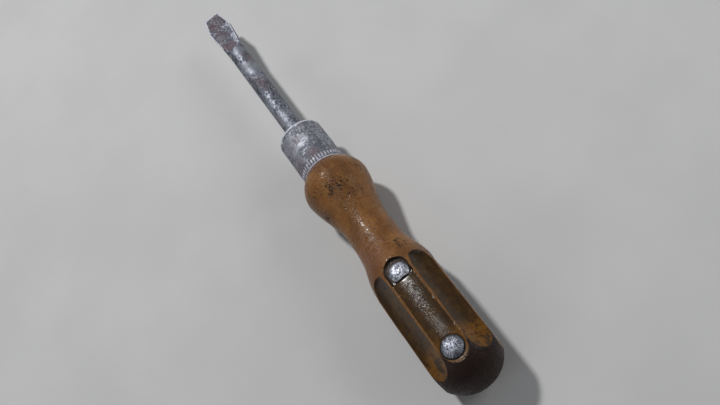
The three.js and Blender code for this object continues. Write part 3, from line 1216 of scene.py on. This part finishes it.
@dataclass
class Blade(Piece):
    """A round bar forged flat into a keystone tip, with a flat tang inside the handle.

    Sizes are in millimetres.

    Attributes:
        tip_width: of the end of the tip.
        tip_thickness: of the end of the tip.
        shoulder_width: across the tip's shoulders, its widest place.
        shoulder_thickness: at the shoulders.
        shoulder: station of the shoulders.
        flats_end: station where the flats start to run out.
        flats_thickness: where they start to run out.
        run_out: how long they take to run out.
        radius: of the round shank.
        round_end: station where the shank ends inside the handle.
        tang_width: where the tang starts.
        tang_end_width: where it ends.
        tang_thickness: all along it.
        rivet_hole: radius of the holes for the rivets.
        skin: size of the faces that make the worn skin.
    """

    node: ClassVar[str] = "blade"
    slot: ClassVar[str] = "blade_steel"
    tip_width: float = 7.0
    tip_thickness: float = 1.1
    shoulder_width: float = 10.8
    shoulder_thickness: float = 2.6
    shoulder: float = 10.6
    flats_end: float = 25.4
    flats_thickness: float = 5.4
    run_out: float = 2.4
    radius: float = 4.0
    round_end: float = 102.7
    tang_width: float = 10.0
    tang_end_width: float = 8.0
    tang_thickness: float = 4.8
    rivet_hole: float = 2.3
    skin: float = 0.2

    def model(self) -> bpy.types.Object:
        """Models the bar, forges its flats, wears its skin and adds the tang.

        Returns:
            The blade.
        """
        blade = self.bar()
        self.forge(blade)
        Bench.skinned(blade, self.skin, 3)
        Bench.uneven(blade, 5.0, 0.10)
        Bench.uneven(blade, 0.9, 0.035)
        Bench.dented(blade, self.knocks())
        Bench.combined(blade, self.tang(0.0), "UNION")
        for rivet in ("front_rivet", "rear_rivet"):
            place = rivet_place(self.datum, rivet)
            hole = Bench.upright_bar("hole", self.datum, place, self.rivet_hole, (-20, 20))
            Bench.combined(blade, hole, "DIFFERENCE")
        proud = Ledger.proudness(blade, 8)
        rounded = Ledger.places(blade)[:, 0] > self.datum.at(self.flats_end - 2.0).x
        Ledger.write(blade, "proud", np.where(rounded, np.minimum(proud, 0.0), proud))
        Bench.smooth_shaded(blade, 60)
        return blade

    def bar(self) -> bpy.types.Object:
        """Turns the round bar, swelled at the tip where it is forged wide.

        Returns:
            The bar.
        """
        outline = [
            (0.0, 0.0),
            (0.0, self.shoulder_width),
            (self.flats_end, math.hypot(self.radius, self.flats_thickness / 2)),
            (self.flats_end + self.run_out, self.radius),
            (self.round_end, self.radius),
            (self.round_end, 0.0),
        ]
        points = [self.datum.at(station, 0, radius) for station, radius in outline]
        return Bench.turned("blade_steel", points, self.datum.at(0), ALONG, 96)

    def forge(self, blade: bpy.types.Object) -> None:
        """Cuts the bar to the tip's width, seen from above, and its thickness, from the side.

        Args:
            blade: the bar to cut.
        """
        past = 12.0
        run_out_end = self.flats_end + self.run_out
        width = [
            (0.0, self.tip_width / 2),
            (self.shoulder, self.shoulder_width / 2),
            (self.flats_end, self.radius),
            (run_out_end, self.radius),
            (run_out_end, past),
            (self.round_end + 1, past),
        ]
        plan = [self.datum.at(s, h, -past) for s, h in width]
        plan += [self.datum.at(s, -h, -past) for s, h in reversed(width)]
        slab = Bench.slab("width", plan, Vector((0, 0, 2 * past * MM)))
        Bench.combined(blade, slab, "INTERSECT")
        thickness = [
            (0.0, self.tip_thickness / 2),
            (self.shoulder, self.shoulder_thickness / 2),
            *hollow_rise(self.flats_end, run_out_end, self.flats_thickness / 2, self.radius, 5),
            (run_out_end, past),
            (self.round_end + 1, past),
        ]
        side = [self.datum.at(s, -past, h) for s, h in thickness]
        side += [self.datum.at(s, -past, -h) for s, h in reversed(thickness)]
        slab = Bench.slab("thickness", side, Vector((0, 2 * past * MM, 0)))
        Bench.combined(blade, slab, "INTERSECT")

    def tang(self, grow: float) -> bpy.types.Object:
        """Makes the flat tang, grown by a clearance where it shapes the handle's slot.

        Args:
            grow: the clearance in millimetres, 0 for the tang itself.

        Returns:
            The tang.
        """
        end = self.datum.node_stations(self.node)[1] + grow
        start = self.round_end - 2.0
        height = self.tang_thickness / 2 + grow
        half, end_half = self.tang_width / 2 + grow, self.tang_end_width / 2 + grow
        root = self.radius - 0.6 + grow
        corners = [
            (start, root), (self.round_end + 3, half), (end, end_half),
            (end, -end_half), (self.round_end + 3, -half), (start, -root),
        ]
        plan = [self.datum.at(station, across, -height) for station, across in corners]
        return Bench.slab("tang", plan, Vector((0, 0, 2 * height * MM)))

    def knocks(self) -> list[Knock]:
        """Lists the nicks along the tip's edges and the shoulders.

        Returns:
            The nicks.
        """
        at = self.datum.at
        return [
            Knock(at(0.0, 1.6, 0.5), 0.5, 0.08),
            Knock(at(0.0, -2.3, -0.5), 0.6, 0.10),
            Knock(at(0.2, 3.4, 0.0), 0.6, 0.12),
            Knock(at(5.4, -4.4, 0.8), 0.7, 0.10),
            Knock(at(8.8, 5.0, 1.0), 0.6, 0.09),
            Knock(at(10.6, -5.4, 0.6), 0.8, 0.14),
            Knock(at(14.5, 5.0, 1.2), 0.7, 0.08),
            Knock(at(17.0, -4.6, 1.4), 0.8, 0.09),
            Knock(at(33.0, 1.4, 3.7), 1.3, 0.08),
            Knock(at(46.0, -1.8, 3.5), 1.0, 0.07),
            Knock(at(58.0, 2.2, 3.3), 1.4, 0.08),
            Knock(at(71.0, -0.6, 4.0), 1.1, 0.08),
        ]


@dataclass
class Ferrule(Piece):
    """A drawn steel cap with a ring of short notches crimped into the wood behind it.

    Sizes are in millimetres.

    Attributes:
        wall: thickness of its side.
        front: thickness of its front.
        corner: radius of the front's outer corner.
        hole: radius of the hole for the shank.
        notches: how many there are.
        notch_length: along the tool.
        notch_depth: of each notch.
        notch_from_edge: from the rear edge to the notches.
        notch_columns: faces around the cap for each notch, of which the first two are pressed in.
    """

    node: ClassVar[str] = "ferrule"
    slot: ClassVar[str] = "ferrule_steel"
    wall: float = 1.2
    front: float = 1.5
    corner: float = 0.8
    hole: float = 4.3
    notches: int = 44
    notch_length: float = 3.0
    notch_depth: float = 0.19
    notch_from_edge: float = 0.7
    notch_columns: int = 4

    def model(self) -> bpy.types.Object:
        """Turns the cap, presses its notches, softens it and wears its surface.

        Returns:
            The ferrule.
        """
        start, end = self.datum.node_stations(self.node)
        low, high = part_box(self.node)
        radius = (high.y - low.y) / 2 / MM
        outline = self.outline(start, end, radius)
        points = [self.datum.at(station, 0, size) for station, size in outline]
        steps = self.notches * self.notch_columns
        cap = Bench.turned("ferrule_steel", points, self.datum.at(0), ALONG, steps)
        self.press_notches(cap, end, radius)
        Bench.modified(cap, "SUBSURF", levels=1, render_levels=1)
        Bench.uneven(cap, 6.0, 0.14)
        Bench.uneven(cap, 1.1, 0.04)
        Bench.dented(cap, self.knocks(start, radius))
        Ledger.write(cap, "proud", Ledger.proudness(cap, 6))
        Bench.smooth_shaded(cap)
        return cap

    def outline(self, start: float, end: float, radius: float) -> list[Mark]:
        """Draws the cap's section, from its hole round the outside to the bore and back.

        Args:
            start: station of the front face.
            end: station of the rear edge.
            radius: outside radius.

        Returns:
            The section's points, of which the last is the first again.
        """
        notch_end = end - self.notch_from_edge
        notch_start = notch_end - self.notch_length
        bore = radius - self.wall
        shell = [
            (start + 0.12, self.hole + 0.02),
            (start, self.hole + 0.2),
            (start, radius - self.corner - 0.35),
            *rising_quarter(start, start + self.corner, radius - self.corner, radius, 6),
            (notch_start - 0.14, radius),
            (notch_start, radius),
            (notch_end, radius),
            (notch_end + 0.14, radius),
            (end - 0.2, radius),
            (end - 0.04, radius - 0.08),
            (end, radius - 0.25),
            (end, bore + 0.25),
            (end - 0.1, bore),
            (start + self.front, bore),
            (start + self.front, self.hole + 0.3),
            (start + self.front - 0.3, self.hole),
            (start + 0.12, self.hole + 0.02),
        ]
        return divided(shell, 1.0)

    def press_notches(self, cap: bpy.types.Object, end: float, radius: float) -> None:
        """Presses every notch in from two columns of faces out of each set.

        Args:
            cap: the turned cap.
            end: station of its rear edge.
            radius: its outside radius.
        """
        last = self.datum.at(end - self.notch_from_edge).x
        first = last - self.notch_length * MM
        column = FULL_TURN / (self.notches * self.notch_columns)
        Bench.edit(cap)
        bpy.ops.mesh.select_all(action="DESELECT")
        bpy.ops.mesh.select_mode(type="FACE")
        mesh = bmesh.from_edit_mesh(cap.data)
        for face in mesh.faces:
            x, y, z = face.calc_center_median()
            z -= self.datum.height
            outside = math.hypot(y, z) > (radius - self.wall / 2) * MM
            place = math.floor(math.atan2(y, z) / column) % self.notch_columns
            face.select_set(first < x < last and outside and place < 2)
        bmesh.update_edit_mesh(cap.data)
        bpy.ops.mesh.inset(thickness=0.07 * MM, depth=-self.notch_depth * MM)
        bpy.ops.mesh.select_mode(type="VERT")
        bpy.ops.object.mode_set(mode="OBJECT")

    def knocks(self, start: float, radius: float) -> list[Knock]:
        """Lists the ferrule's dents, on its front rim and its side.

        Args:
            start: station of the front face.
            radius: outside radius.

        Returns:
            The dents.
        """
        around = self.datum.around
        rim = radius - 0.3
        return [
            Knock(around(start + 0.4, rim, -48), 1.6, 0.20),
            Knock(around(start + 0.4, rim, 12), 1.2, 0.14),
            Knock(around(start + 0.5, rim, 71), 1.8, 0.22),
            Knock(around(start + 0.4, rim, 160), 1.5, 0.20),
            Knock(around(start + 7.0, radius, -20), 2.6, 0.16),
            Knock(around(start + 10.5, radius, 6), 2.2, 0.12),
            Knock(around(start + 14.0, radius, 48), 2.8, 0.15),
            Knock(around(start + 9.0, radius, 130), 3.0, 0.20),
            Knock(around(start + 12.0, radius, -115), 2.6, 0.18),
        ]


@dataclass
class Handle(Piece):
    """One turning: bulb, neck and flare, then a grip with eight flutes and a domed butt.

    Sizes are in millimetres.

    Attributes:
        clearance: around the tang and behind the ferrule.
        bulb_radius: at its widest ring.
        bulb_nose: from its front edge to its widest ring.
        bulb_nose_run: length of the quarter ellipse that the nose is part of.
        sweep: distance behind the widest ring, and radius, of points from there to the grip.
        grip_radius: across the ridges.
        dome_length: of the butt.
        flutes: how many there are.
        flute_depth: of each flute.
        flute_lead: how far before the grip the flutes start.
        flute_nose: how far their round front ends reach.
        ridge: width of the ridges left between them.
        pocket_depth: of the front rivet's pocket, under the flute.
        pocket_radius: of its round front.
        pocket_arch: from the rivet forward to that round's middle.
        pocket_step: from the rivet back to its straight end.
        seat_depth: of the rear rivet's seat, under the flute.
        seat_radius: of the same seat.
        burr_seat_depth: of the burrs' seats, under the lower flute.
        burr_seat_radius: of the same seats.
        rivet_hole: radius of the holes for the rivets.
        skin: size of the faces that make the worn skin.
        kept_faces: share of the faces kept once the skin is worn.
        probe: half the length over which the slope of the outline is measured.
    """

    node: ClassVar[str] = "handle"
    slot: ClassVar[str] = "varnished_wood"
    clearance: float = 0.3
    bulb_radius: float = 13.8
    bulb_nose: float = 9.3
    bulb_nose_run: float = 12.9
    sweep: list[Mark] = field(
        default_factory=lambda: [
            (0.0, 13.8), (5.2, 12.9), (18.2, 9.8), (25.7, 9.3),
            (36.7, 10.1), (46.2, 12.5), (54.7, 13.75),
        ]
    )
    grip_radius: float = 13.95
    dome_length: float = 12.8
    flutes: int = 8
    flute_depth: float = 1.5
    flute_lead: float = 6.5
    flute_nose: float = 2.5
    ridge: float = 0.45
    pocket_depth: float = 0.85
    pocket_radius: float = 4.8
    pocket_arch: float = 1.6
    pocket_step: float = 3.1
    seat_depth: float = 0.25
    seat_radius: float = 4.5
    burr_seat_depth: float = 1.8
    burr_seat_radius: float = 4.3
    rivet_hole: float = 2.3
    skin: float = 0.31
    kept_faces: float = 0.62
    probe: float = 0.2

    def model(self) -> bpy.types.Object:
        """Turns the handle, cuts it, then wears its skin and slots it for the tang.

        Returns:
            The handle.
        """
        handle = self.turning()
        self.cut_flutes(handle)
        self.cut_seats(handle)
        Bench.skinned(handle, self.skin, 2)
        Ledger.write(handle, "flute_depth", self.depths(handle))
        Bench.uneven(handle, 14.0, 0.2)
        Bench.uneven(handle, 2.2, 0.03)
        Bench.dented(handle, self.knocks())
        self.cut_slot(handle)
        Ledger.write(handle, "proud", Ledger.proudness(handle, 14))
        Bench.modified(handle, "DECIMATE", ratio=self.kept_faces)
        Bench.smooth_shaded(handle, 70)
        return handle

    @property
    def shoulder(self) -> float:
        """Station of the bulb's front edge, just behind the ferrule."""
        return self.datum.node_stations("ferrule")[1] + self.clearance

    @property
    def bulb(self) -> float:
        """Station of the bulb's widest ring."""
        return self.shoulder + self.bulb_nose

    @property
    def grip(self) -> float:
        """Station where the flare meets the grip."""
        return self.bulb + self.sweep[-1][0]

    @property
    def dome(self) -> float:
        """Station where the grip ends and the dome begins."""
        return self.datum.node_stations(self.node)[1] - self.dome_length

    @property
    def floor(self) -> float:
        """Distance from the axis to the bottom of a flute."""
        return self.grip_radius - self.flute_depth

    def skyline(self) -> list[Mark]:
        """Draws the turned outline behind the ferrule, as (station, radius) points.

        Returns:
            The outline's points, from the shoulder to the end of the butt.
        """
        nose_start = self.bulb - self.bulb_nose_run
        nose = rising_quarter(nose_start, self.bulb, 0.0, self.bulb_radius, 40)
        nose = [mark for mark in nose if mark[0] > self.shoulder + 0.3]
        lip = self.bulb_radius * math.sqrt(1 - (self.bulb_nose / self.bulb_nose_run) ** 2)
        body = smooth_curve([(self.bulb + run, radius) for run, radius in self.sweep], 12)
        butt = self.dome + self.dome_length
        dome = rising_quarter(butt, self.dome, 0.0, self.grip_radius, 24)[::-1]
        front = [(self.shoulder, lip - 0.35), (self.shoulder + 0.12, lip - 0.05)]
        return [*front, *nose[:-1], *body, *dome]

    def turning(self) -> bpy.types.Object:
        """Turns the solid handle, with the spigot that fills the ferrule.

        Returns:
            The uncut handle.
        """
        spigot_start = self.datum.node_stations(self.node)[0]
        low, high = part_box("ferrule")
        spigot = (high.y - low.y) / 2 / MM - 1.5
        outline = [(spigot_start, 0.0), (spigot_start, spigot), (self.shoulder, spigot)]
        outline += divided(self.skyline(), 2.5)
        points = [self.datum.at(station, 0, radius) for station, radius in outline]
        points[-1] = self.datum.at(outline[-1][0])
        return Bench.turned("handle_wood", points, self.datum.at(0), ALONG, 128)

    def cut_flutes(self, handle: bpy.types.Object) -> None:
        """Cuts the flutes with copies of one long round-nosed roll.

        Args:
            handle: the turned handle.
        """
        edge = math.pi / self.flutes - self.ridge / (2 * self.grip_radius)
        rise = self.grip_radius * math.cos(edge) - self.floor
        reach = self.grip_radius * math.sin(edge)
        roll = (rise**2 + reach**2) / (2 * rise)
        start = self.grip - self.flute_lead
        nose = rising_quarter(start, start + self.flute_nose, roll - self.flute_nose, roll, 8)
        past = self.dome + self.dome_length + 2
        outline = [(start, 0.0), *nose, (past, roll), (past, 0.0)]
        middle = self.floor + roll
        points = [self.datum.at(station, 0, middle + size) for station, size in outline]
        centre = self.datum.at(0, 0, middle)
        cutter = Bench.turned("flute_roll", points, centre, ALONG, 240)
        for i in range(self.flutes):
            roll_copy = Bench.copied(cutter, f"flute_roll_{i}")
            Bench.rotated(roll_copy, FULL_TURN * i / self.flutes, self.datum.at(0))
            Bench.combined(handle, roll_copy, "DIFFERENCE")
        bpy.data.objects.remove(cutter)

    def cut_seats(self, handle: bpy.types.Object) -> None:
        """Cuts the front rivet's pocket, the rear rivet's seat, and the burrs' seats and holes.

        Args:
            handle: the fluted handle.
        """
        front, rear = (rivet_place(self.datum, node) for node in ("front_rivet", "rear_rivet"))
        bottom = self.floor - self.pocket_depth
        middle, radius = front[0] - self.pocket_arch, self.pocket_radius
        arch = [
            (middle - radius * math.sin(a), radius * math.cos(a))
            for a in (math.pi * i / 24 for i in range(25))
        ]
        step = front[0] + self.pocket_step
        outline = [(step, radius), *arch, (step, -radius)]
        plan = [self.datum.at(station, across, bottom) for station, across in outline]
        Bench.combined(handle, Bench.slab("pocket", plan, Vector((0, 0, 8 * MM))), "DIFFERENCE")
        cuts = [(rear, self.seat_radius, (self.floor - self.seat_depth, 20.0))]
        for place in (front, rear):
            cuts.append((place, self.rivet_hole, (-20.0, 20.0)))
            cuts.append((place, self.burr_seat_radius, (-20.0, self.burr_seat_depth - self.floor)))
        for place, radius, heights in cuts:
            cutter = Bench.upright_bar("seat", self.datum, place, radius, heights)
            Bench.combined(handle, cutter, "DIFFERENCE")

    def cut_slot(self, handle: bpy.types.Object) -> None:
        """Bores the handle for the blade's shank and slots it for the tang.

        Args:
            handle: the worn handle.
        """
        blade = Blade(self.datum)
        Bench.combined(handle, blade.tang(self.clearance), "DIFFERENCE")
        start = self.datum.node_stations(self.node)[0]
        radius = blade.radius + self.clearance
        outline = [
            (start - 1, 0.0), (start - 1, radius), (blade.round_end + 1, radius),
            (blade.round_end + 1, 0.0),
        ]
        points = [self.datum.at(station, 0, size) for station, size in outline]
        bore = Bench.turned("bore", points, self.datum.at(0), ALONG, 48)
        Bench.combined(handle, bore, "DIFFERENCE")

    def knocks(self) -> list[Knock]:
        """Lists the dents: chips along the ridges, and knocks on the bulb, neck and dome.

        Returns:
            The dents, in the same order each time.
        """
        chance = random.Random(11)
        knocks = []
        for i in range(self.flutes):
            angle = 360 * (i + 0.5) / self.flutes
            for _ in range(2):
                station = chance.uniform(self.grip - 4, self.dome + 4)
                place = self.datum.around(station, self.grip_radius, angle)
                knocks.append(Knock(place, chance.uniform(0.6, 1.2), chance.uniform(0.03, 0.10)))
        for _ in range(20):
            station = chance.uniform(self.shoulder + 2, self.bulb + 30)
            place = self.datum.around(station, self.bulb_radius, chance.uniform(0, 360))
            knocks.append(Knock(place, chance.uniform(0.8, 2.0), chance.uniform(0.03, 0.09)))
        around = self.datum.around
        knocks += [
            Knock(around(self.grip - 4.1, self.grip_radius, 70), 1.4, 0.35),
            Knock(around(self.bulb + 7.2, self.bulb_radius, 4), 1.2, 0.12),
            Knock(around(self.bulb + 6.0, self.bulb_radius, -5), 0.9, 0.1),
            Knock(around(self.bulb + 2.4, self.bulb_radius, 58), 1.4, 0.14),
            Knock(around(self.dome + 9, self.grip_radius, 40), 2.4, 0.2),
            Knock(around(self.dome + 11, self.grip_radius, -110), 3.0, 0.25),
        ]
        return knocks

    def depths(self, handle: bpy.types.Object) -> np.ndarray:
        """Measures how far each vertex lies under the turned outline, in millimetres.

        Args:
            handle: the handle to measure.

        Returns:
            Millimetres for each vertex, 0 on the spigot.
        """
        places = Ledger.places(handle)
        stations, radii = zip(*self.skyline())
        along = (places[:, 0] - self.datum.tip) / MM
        out = np.hypot(places[:, 1], places[:, 2] - self.datum.height) / MM
        depth = np.interp(along, stations, radii) - out
        behind = np.interp(along + self.probe, stations, radii)
        before = np.interp(along - self.probe, stations, radii)
        slope = np.abs(behind - before) / (2 * self.probe)
        return depth / np.hypot(1.0, slope) * (along > self.shoulder + 1)


def rivet_place(datum: Datum, node: str) -> Mark:
    """Gives a rivet's station and its place across the tool, from its burr, which is round.

    Args:
        datum: where the tool lies.
        node: the rivet's CAD node.

    Returns:
        Its station and its place along +Y, in millimetres.
    """
    low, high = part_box(f"{node}_burr")
    middle = (low + high) / 2
    return datum.station(middle.x), middle.y / MM


@dataclass
class Rivet(Piece):
    """A domed rivet through wood and tang, closed over a burr in the lower flute.

    Sizes are in millimetres.

    Attributes:
        node: the CAD node that it stands for.
        shank_radius: under the head.
        head_height: of the dome and its rim.
        rim: height of the upright rim under the dome.
        closed_radius: of the closed end.
        closed_height: of the closed end.
    """

    slot: ClassVar[str] = "rivet_steel"
    node: str = "rear_rivet"
    shank_radius: float = 2.0
    head_height: float = 1.7
    rim: float = 0.35
    closed_radius: float = 3.0
    closed_height: float = 0.7

    def model(self) -> bpy.types.Object:
        """Turns the rivet, hammers it, and files its head's back flat where it is filed.

        Returns:
            The rivet.
        """
        low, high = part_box(self.node)
        top = (high.z - self.datum.height) / MM
        bottom = (low.z - self.datum.height) / MM
        station, across = rivet_place(self.datum, self.node)
        radius = (high.y - low.y) / 2 / MM
        outline = self.outline(top, bottom, radius)
        points = [self.datum.at(station + size, across, height) for height, size in outline]
        centre = self.datum.at(station, across)
        rivet = Bench.turned(f"{self.node}_steel", points, centre, UP, 80)
        Bench.uneven(rivet, 2.6, 0.16)
        Bench.uneven(rivet, 0.7, 0.035)
        back = (high.x - centre.x) / MM
        if back < radius - 0.2:
            self.file_flat(rivet, high.x)
        Ledger.write(rivet, "proud", Ledger.proudness(rivet, 4))
        Bench.smooth_shaded(rivet, 50)
        return rivet

    def outline(self, top: float, bottom: float, radius: float) -> list[Mark]:
        """Draws the rivet's section as (height, radius) points, from its closed end up.

        Args:
            top: height of the dome.
            bottom: height of the closed end.
            radius: the head's radius.

        Returns:
            The section's points.
        """
        base = top - self.head_height
        under = bottom + self.closed_height
        dome = rising_quarter(top, base + self.rim, 0.0, radius - 0.02, 18)[::-1]
        closed = rising_quarter(bottom, under - 0.15, 0.0, self.closed_radius, 8)
        corners = [
            *closed,
            (under, self.closed_radius - 0.1),
            (under, self.shank_radius),
            (base, self.shank_radius),
            (base, radius - 0.15),
            (base + 0.1, radius - 0.03),
        ]
        return divided([*corners, *dome], 0.5)

    def file_flat(self, rivet: bpy.types.Object, x: float) -> None:
        """Cuts the head off flat behind an X in metres and closes the cut.

        Args:
            rivet: the rivet to file.
            x: where the flat is.
        """
        Bench.edit(rivet)
        bpy.ops.mesh.bisect(
            plane_co=(x, 0, 0), plane_no=(1, 0, 0), use_fill=True, clear_outer=True
        )
        bpy.ops.mesh.select_all(action="SELECT")
        bpy.ops.mesh.normals_make_consistent(inside=False)
        bpy.ops.object.mode_set(mode="OBJECT")


@dataclass
class Burr(Piece):
    """The washer under a rivet's closed end, sunk in the lower flute.

    Attributes:
        node: the CAD node that it stands for.
        hole: radius of its hole, in millimetres.
    """

    slot: ClassVar[str] = "rivet_steel"
    node: str = "front_rivet_burr"
    hole: float = 2.3

    def model(self) -> bpy.types.Object:
        """Turns the washer and hammers it out of true.

        Returns:
            The washer.
        """
        low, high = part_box(self.node)
        radius = (high.x - low.x) / 2 / MM
        bottom, top = ((z - self.datum.height) / MM for z in (low.z, high.z))
        station = self.datum.station((low.x + high.x) / 2)
        across = (low.y + high.y) / 2 / MM
        ring = [
            (bottom + 0.02, self.hole + 0.1), (bottom, self.hole + 0.25), (bottom, radius - 0.3),
            (bottom + 0.06, radius - 0.1), (bottom + 0.22, radius), (top - 0.12, radius),
            (top, radius - 0.1), (top, self.hole + 0.1), (top - 0.1, self.hole),
            (bottom + 0.12, self.hole), (bottom + 0.02, self.hole + 0.1),
        ]
        outline = divided(ring, 0.35)
        points = [self.datum.at(station + size, across, height) for height, size in outline]
        centre = self.datum.at(station, across)
        burr = Bench.turned(f"{self.node}_steel", points, centre, UP, 72)
        Bench.uneven(burr, 2.0, 0.12)
        Ledger.write(burr, "proud", Ledger.proudness(burr, 4))
        Bench.smooth_shaded(burr, 50)
        return burr


@dataclass
class Studio:
    """A pale floor, soft lights and the camera.

    Attributes:
        datum: where the tool lies.
        aim: station that the camera looks at.
        tilt: degrees between the view and square to the tool, towards the butt.
        roll: degrees that the view leans round the tool's axis, towards +Y.
        slant: degrees of the tool in the picture, below level from the tip to the butt.
        distance: metres from the aim to the camera.
        drift: metres that the camera stands to the side of its aim.
        lens: focal length in millimetres.
        floor_colour: colour of the floor's lighter patches.
    """

    datum: Datum
    aim: float = 133.1
    tilt: float = 34.0
    roll: float = 3.7
    slant: float = 52.88
    distance: float = 0.392
    drift: float = 0.00333
    lens: float = 50.0
    floor_colour: Colour = (0.62, 0.615, 0.61)

    def place_camera(self) -> None:
        """Places the camera and makes it the scene's."""
        tilt, roll, slant = (math.radians(a) for a in (self.tilt, self.roll, self.slant))
        along = Vector((1, 0, 0))
        up = Vector((0, math.sin(roll), math.cos(roll)))
        side = Vector((0, math.cos(roll), -math.sin(roll)))
        back = along * math.sin(tilt) + up * math.cos(tilt)
        butt = along * math.cos(tilt) - up * math.sin(tilt)
        right = butt * math.cos(slant) + side * math.sin(slant)
        above = side * math.cos(slant) - butt * math.sin(slant)
        place = self.datum.at(self.aim) + back * self.distance + side * self.drift
        data = bpy.data.cameras.new("camera")
        data.lens = self.lens
        data.sensor_width = 36
        data.clip_start = 0.01
        camera = bpy.data.objects.new("camera", data)
        rows = [(*row, offset) for row, offset in zip(zip(right, above, back), place)]
        camera.matrix_world = Matrix([*rows, (0, 0, 0, 1)])
        bpy.context.scene.collection.objects.link(camera)
        bpy.context.scene.camera = camera

    def lay_floor(self) -> None:
        """Lays a wide pale floor under the tool."""
        Bench.clear()
        bpy.ops.mesh.primitive_plane_add(size=6.0, location=(0, 0, 0))
        floor = bpy.context.object
        floor.name = "floor"
        s = Shader("pale_floor")
        clouds = s.noise(60, detail=3)
        shade = tuple(0.94 * c for c in self.floor_colour)
        colour = s.blend(s.step(clouds, 0.35, 0.65), shade, self.floor_colour)
        s.set(Base_Color=colour, Roughness=0.7)
        floor.data.materials.append(s.material)

    def hang_lights(self) -> None:
        """Hangs the key light on the tip's side and a soft fill on each side, and sets a dim world
        and the Standard view.
        """
        self.soft_light("key", (-0.67, -0.11, 0.98), (0.11, 0.11), 8.0)
        self.soft_light("left_fill", (0.25, -0.75, 0.5), (0.6, 0.4), 0.8)
        self.soft_light("right_fill", (0.15, 0.8, 0.45), (0.6, 0.4), 2.4)
        world = bpy.data.worlds.new("studio")
        world.use_nodes = True
        background = world.node_tree.nodes["Background"]
        background.inputs["Color"].default_value = (0.86, 0.92, 1.0, 1.0)
        background.inputs["Strength"].default_value = 0.12
        bpy.context.scene.world = world
        bpy.context.scene.view_settings.view_transform = "Standard"

    def soft_light(self, name: str, offset: Colour, size: Mark, power: float) -> None:
        """Hangs one rectangular light that faces the tool.

        Args:
            name: the light's name.
            offset: where it hangs from the tool's middle, in metres.
            size: its width and height in metres.
            power: in watts.
        """
        data = bpy.data.lights.new(name, "AREA")
        data.shape = "RECTANGLE"
        data.size, data.size_y = size
        data.energy = power
        light = bpy.data.objects.new(name, data)
        target = self.datum.at(self.aim)
        light.location = target + Vector(offset)
        light.rotation_euler = (-Vector(offset)).to_track_quat("-Z", "Y").to_euler()
        bpy.context.scene.collection.objects.link(light)

    def set_up(self) -> None:
        """Sets the whole studio up."""
        self.place_camera()
        self.lay_floor()
        self.hang_lights()


def blade_finish(datum: Datum) -> WornSteel:
    """Gives the blade's finish, rustiest on the flats and along the middle of the shank.

    Args:
        datum: where the tool lies.

    Returns:
        The finish.
    """
    at = datum.at
    return WornSteel(
        name="blade_steel",
        dull=(0.10, 0.105, 0.135),
        bright=(0.54, 0.57, 0.64),
        stain=(0.145, 0.10, 0.108),
        lay=Lay.LENGTHWISE,
        stains=(
            Spot(at(6.0, 0.5, 0.8), 8.5),
            Spot(at(14.6, 0.6, 1.5), 8.0),
            Spot(at(24.0, -0.6, 2.6), 6.0),
            Spot(at(56.2, 0.5, 4.0), 7.5),
        ),
        rubs_and_highlights=(
            Spot(at(30.6, 1.2, 3.8), 5.0),
            Spot(at(43.1, 0.6, 4.0), 6.5),
            Spot(at(77.0, 0.0, 4.0), 6.0),
        ),
        worn_edge=(0.016, 0.036),
    )


def ferrule_finish(datum: Datum) -> WornSteel:
    """Gives the ferrule's finish, scuffed on top, brighter on its left with wear and a painted
    highlight, and with a painted highlight round its front rim.

    Args:
        datum: where the tool lies.

    Returns:
        The finish.
    """
    around = datum.around
    return WornSteel(
        name="ferrule_steel",
        dull=(0.15, 0.152, 0.185),
        bright=(0.58, 0.60, 0.66),
        stain=(0.19, 0.135, 0.145),
        lay=Lay.ALL_WAYS,
        stains=(Spot(around(105.4, 9.5, 12), 6.0),),
        # The two patches on the left are partly worn steel and partly a painted highlight
        rubs_and_highlights=(Spot(around(97.0, 9.5, -28), 7.5), Spot(around(103.5, 9.5, -38), 7.0)),
        scuffs=(
            Spot(around(99.8, 9.5, -18), 5.0, (0.45, 1.0, 1.0)),
            Spot(around(98.6, 9.5, 6), 3.2, (0.45, 1.0, 1.0)),
        ),
        rim=datum.at(datum.node_stations("ferrule")[0]),
    )


def main() -> None:
    """Builds the tool piece by piece in its studio."""
    logging.basicConfig(level=logging.INFO, format="%(name)s: %(message)s")
    datum = Datum.from_frame()
    Studio(datum).set_up()
    front, rear = (rivet_place(datum, node) for node in ("front_rivet", "rear_rivet"))
    pockets = (Spot(datum.at(front[0] - 1.4, 0.0, 11.6), 6.0), Spot(datum.at(*rear, 12.2), 6.0))
    front_steel = RivetSteel("front_rivet_steel", (0.60, 0.62, 0.68)).material()
    rear_finish = RivetSteel("rear_rivet_steel", (0.46, 0.48, 0.54), datum.at(*rear, 13.5))
    rear_steel = rear_finish.material()
    Blade(datum).make(blade_finish(datum).material())
    Ferrule(datum).make(ferrule_finish(datum).material())
    Handle(datum).make(VarnishedWood(datum, pockets).material())
    for node, steel in (("front_rivet", front_steel), ("rear_rivet", rear_steel)):
        Rivet(datum, node=node).make(steel)
        Burr(datum, node=f"{node}_burr").make(steel)


if __name__ == "__main__":
    main()
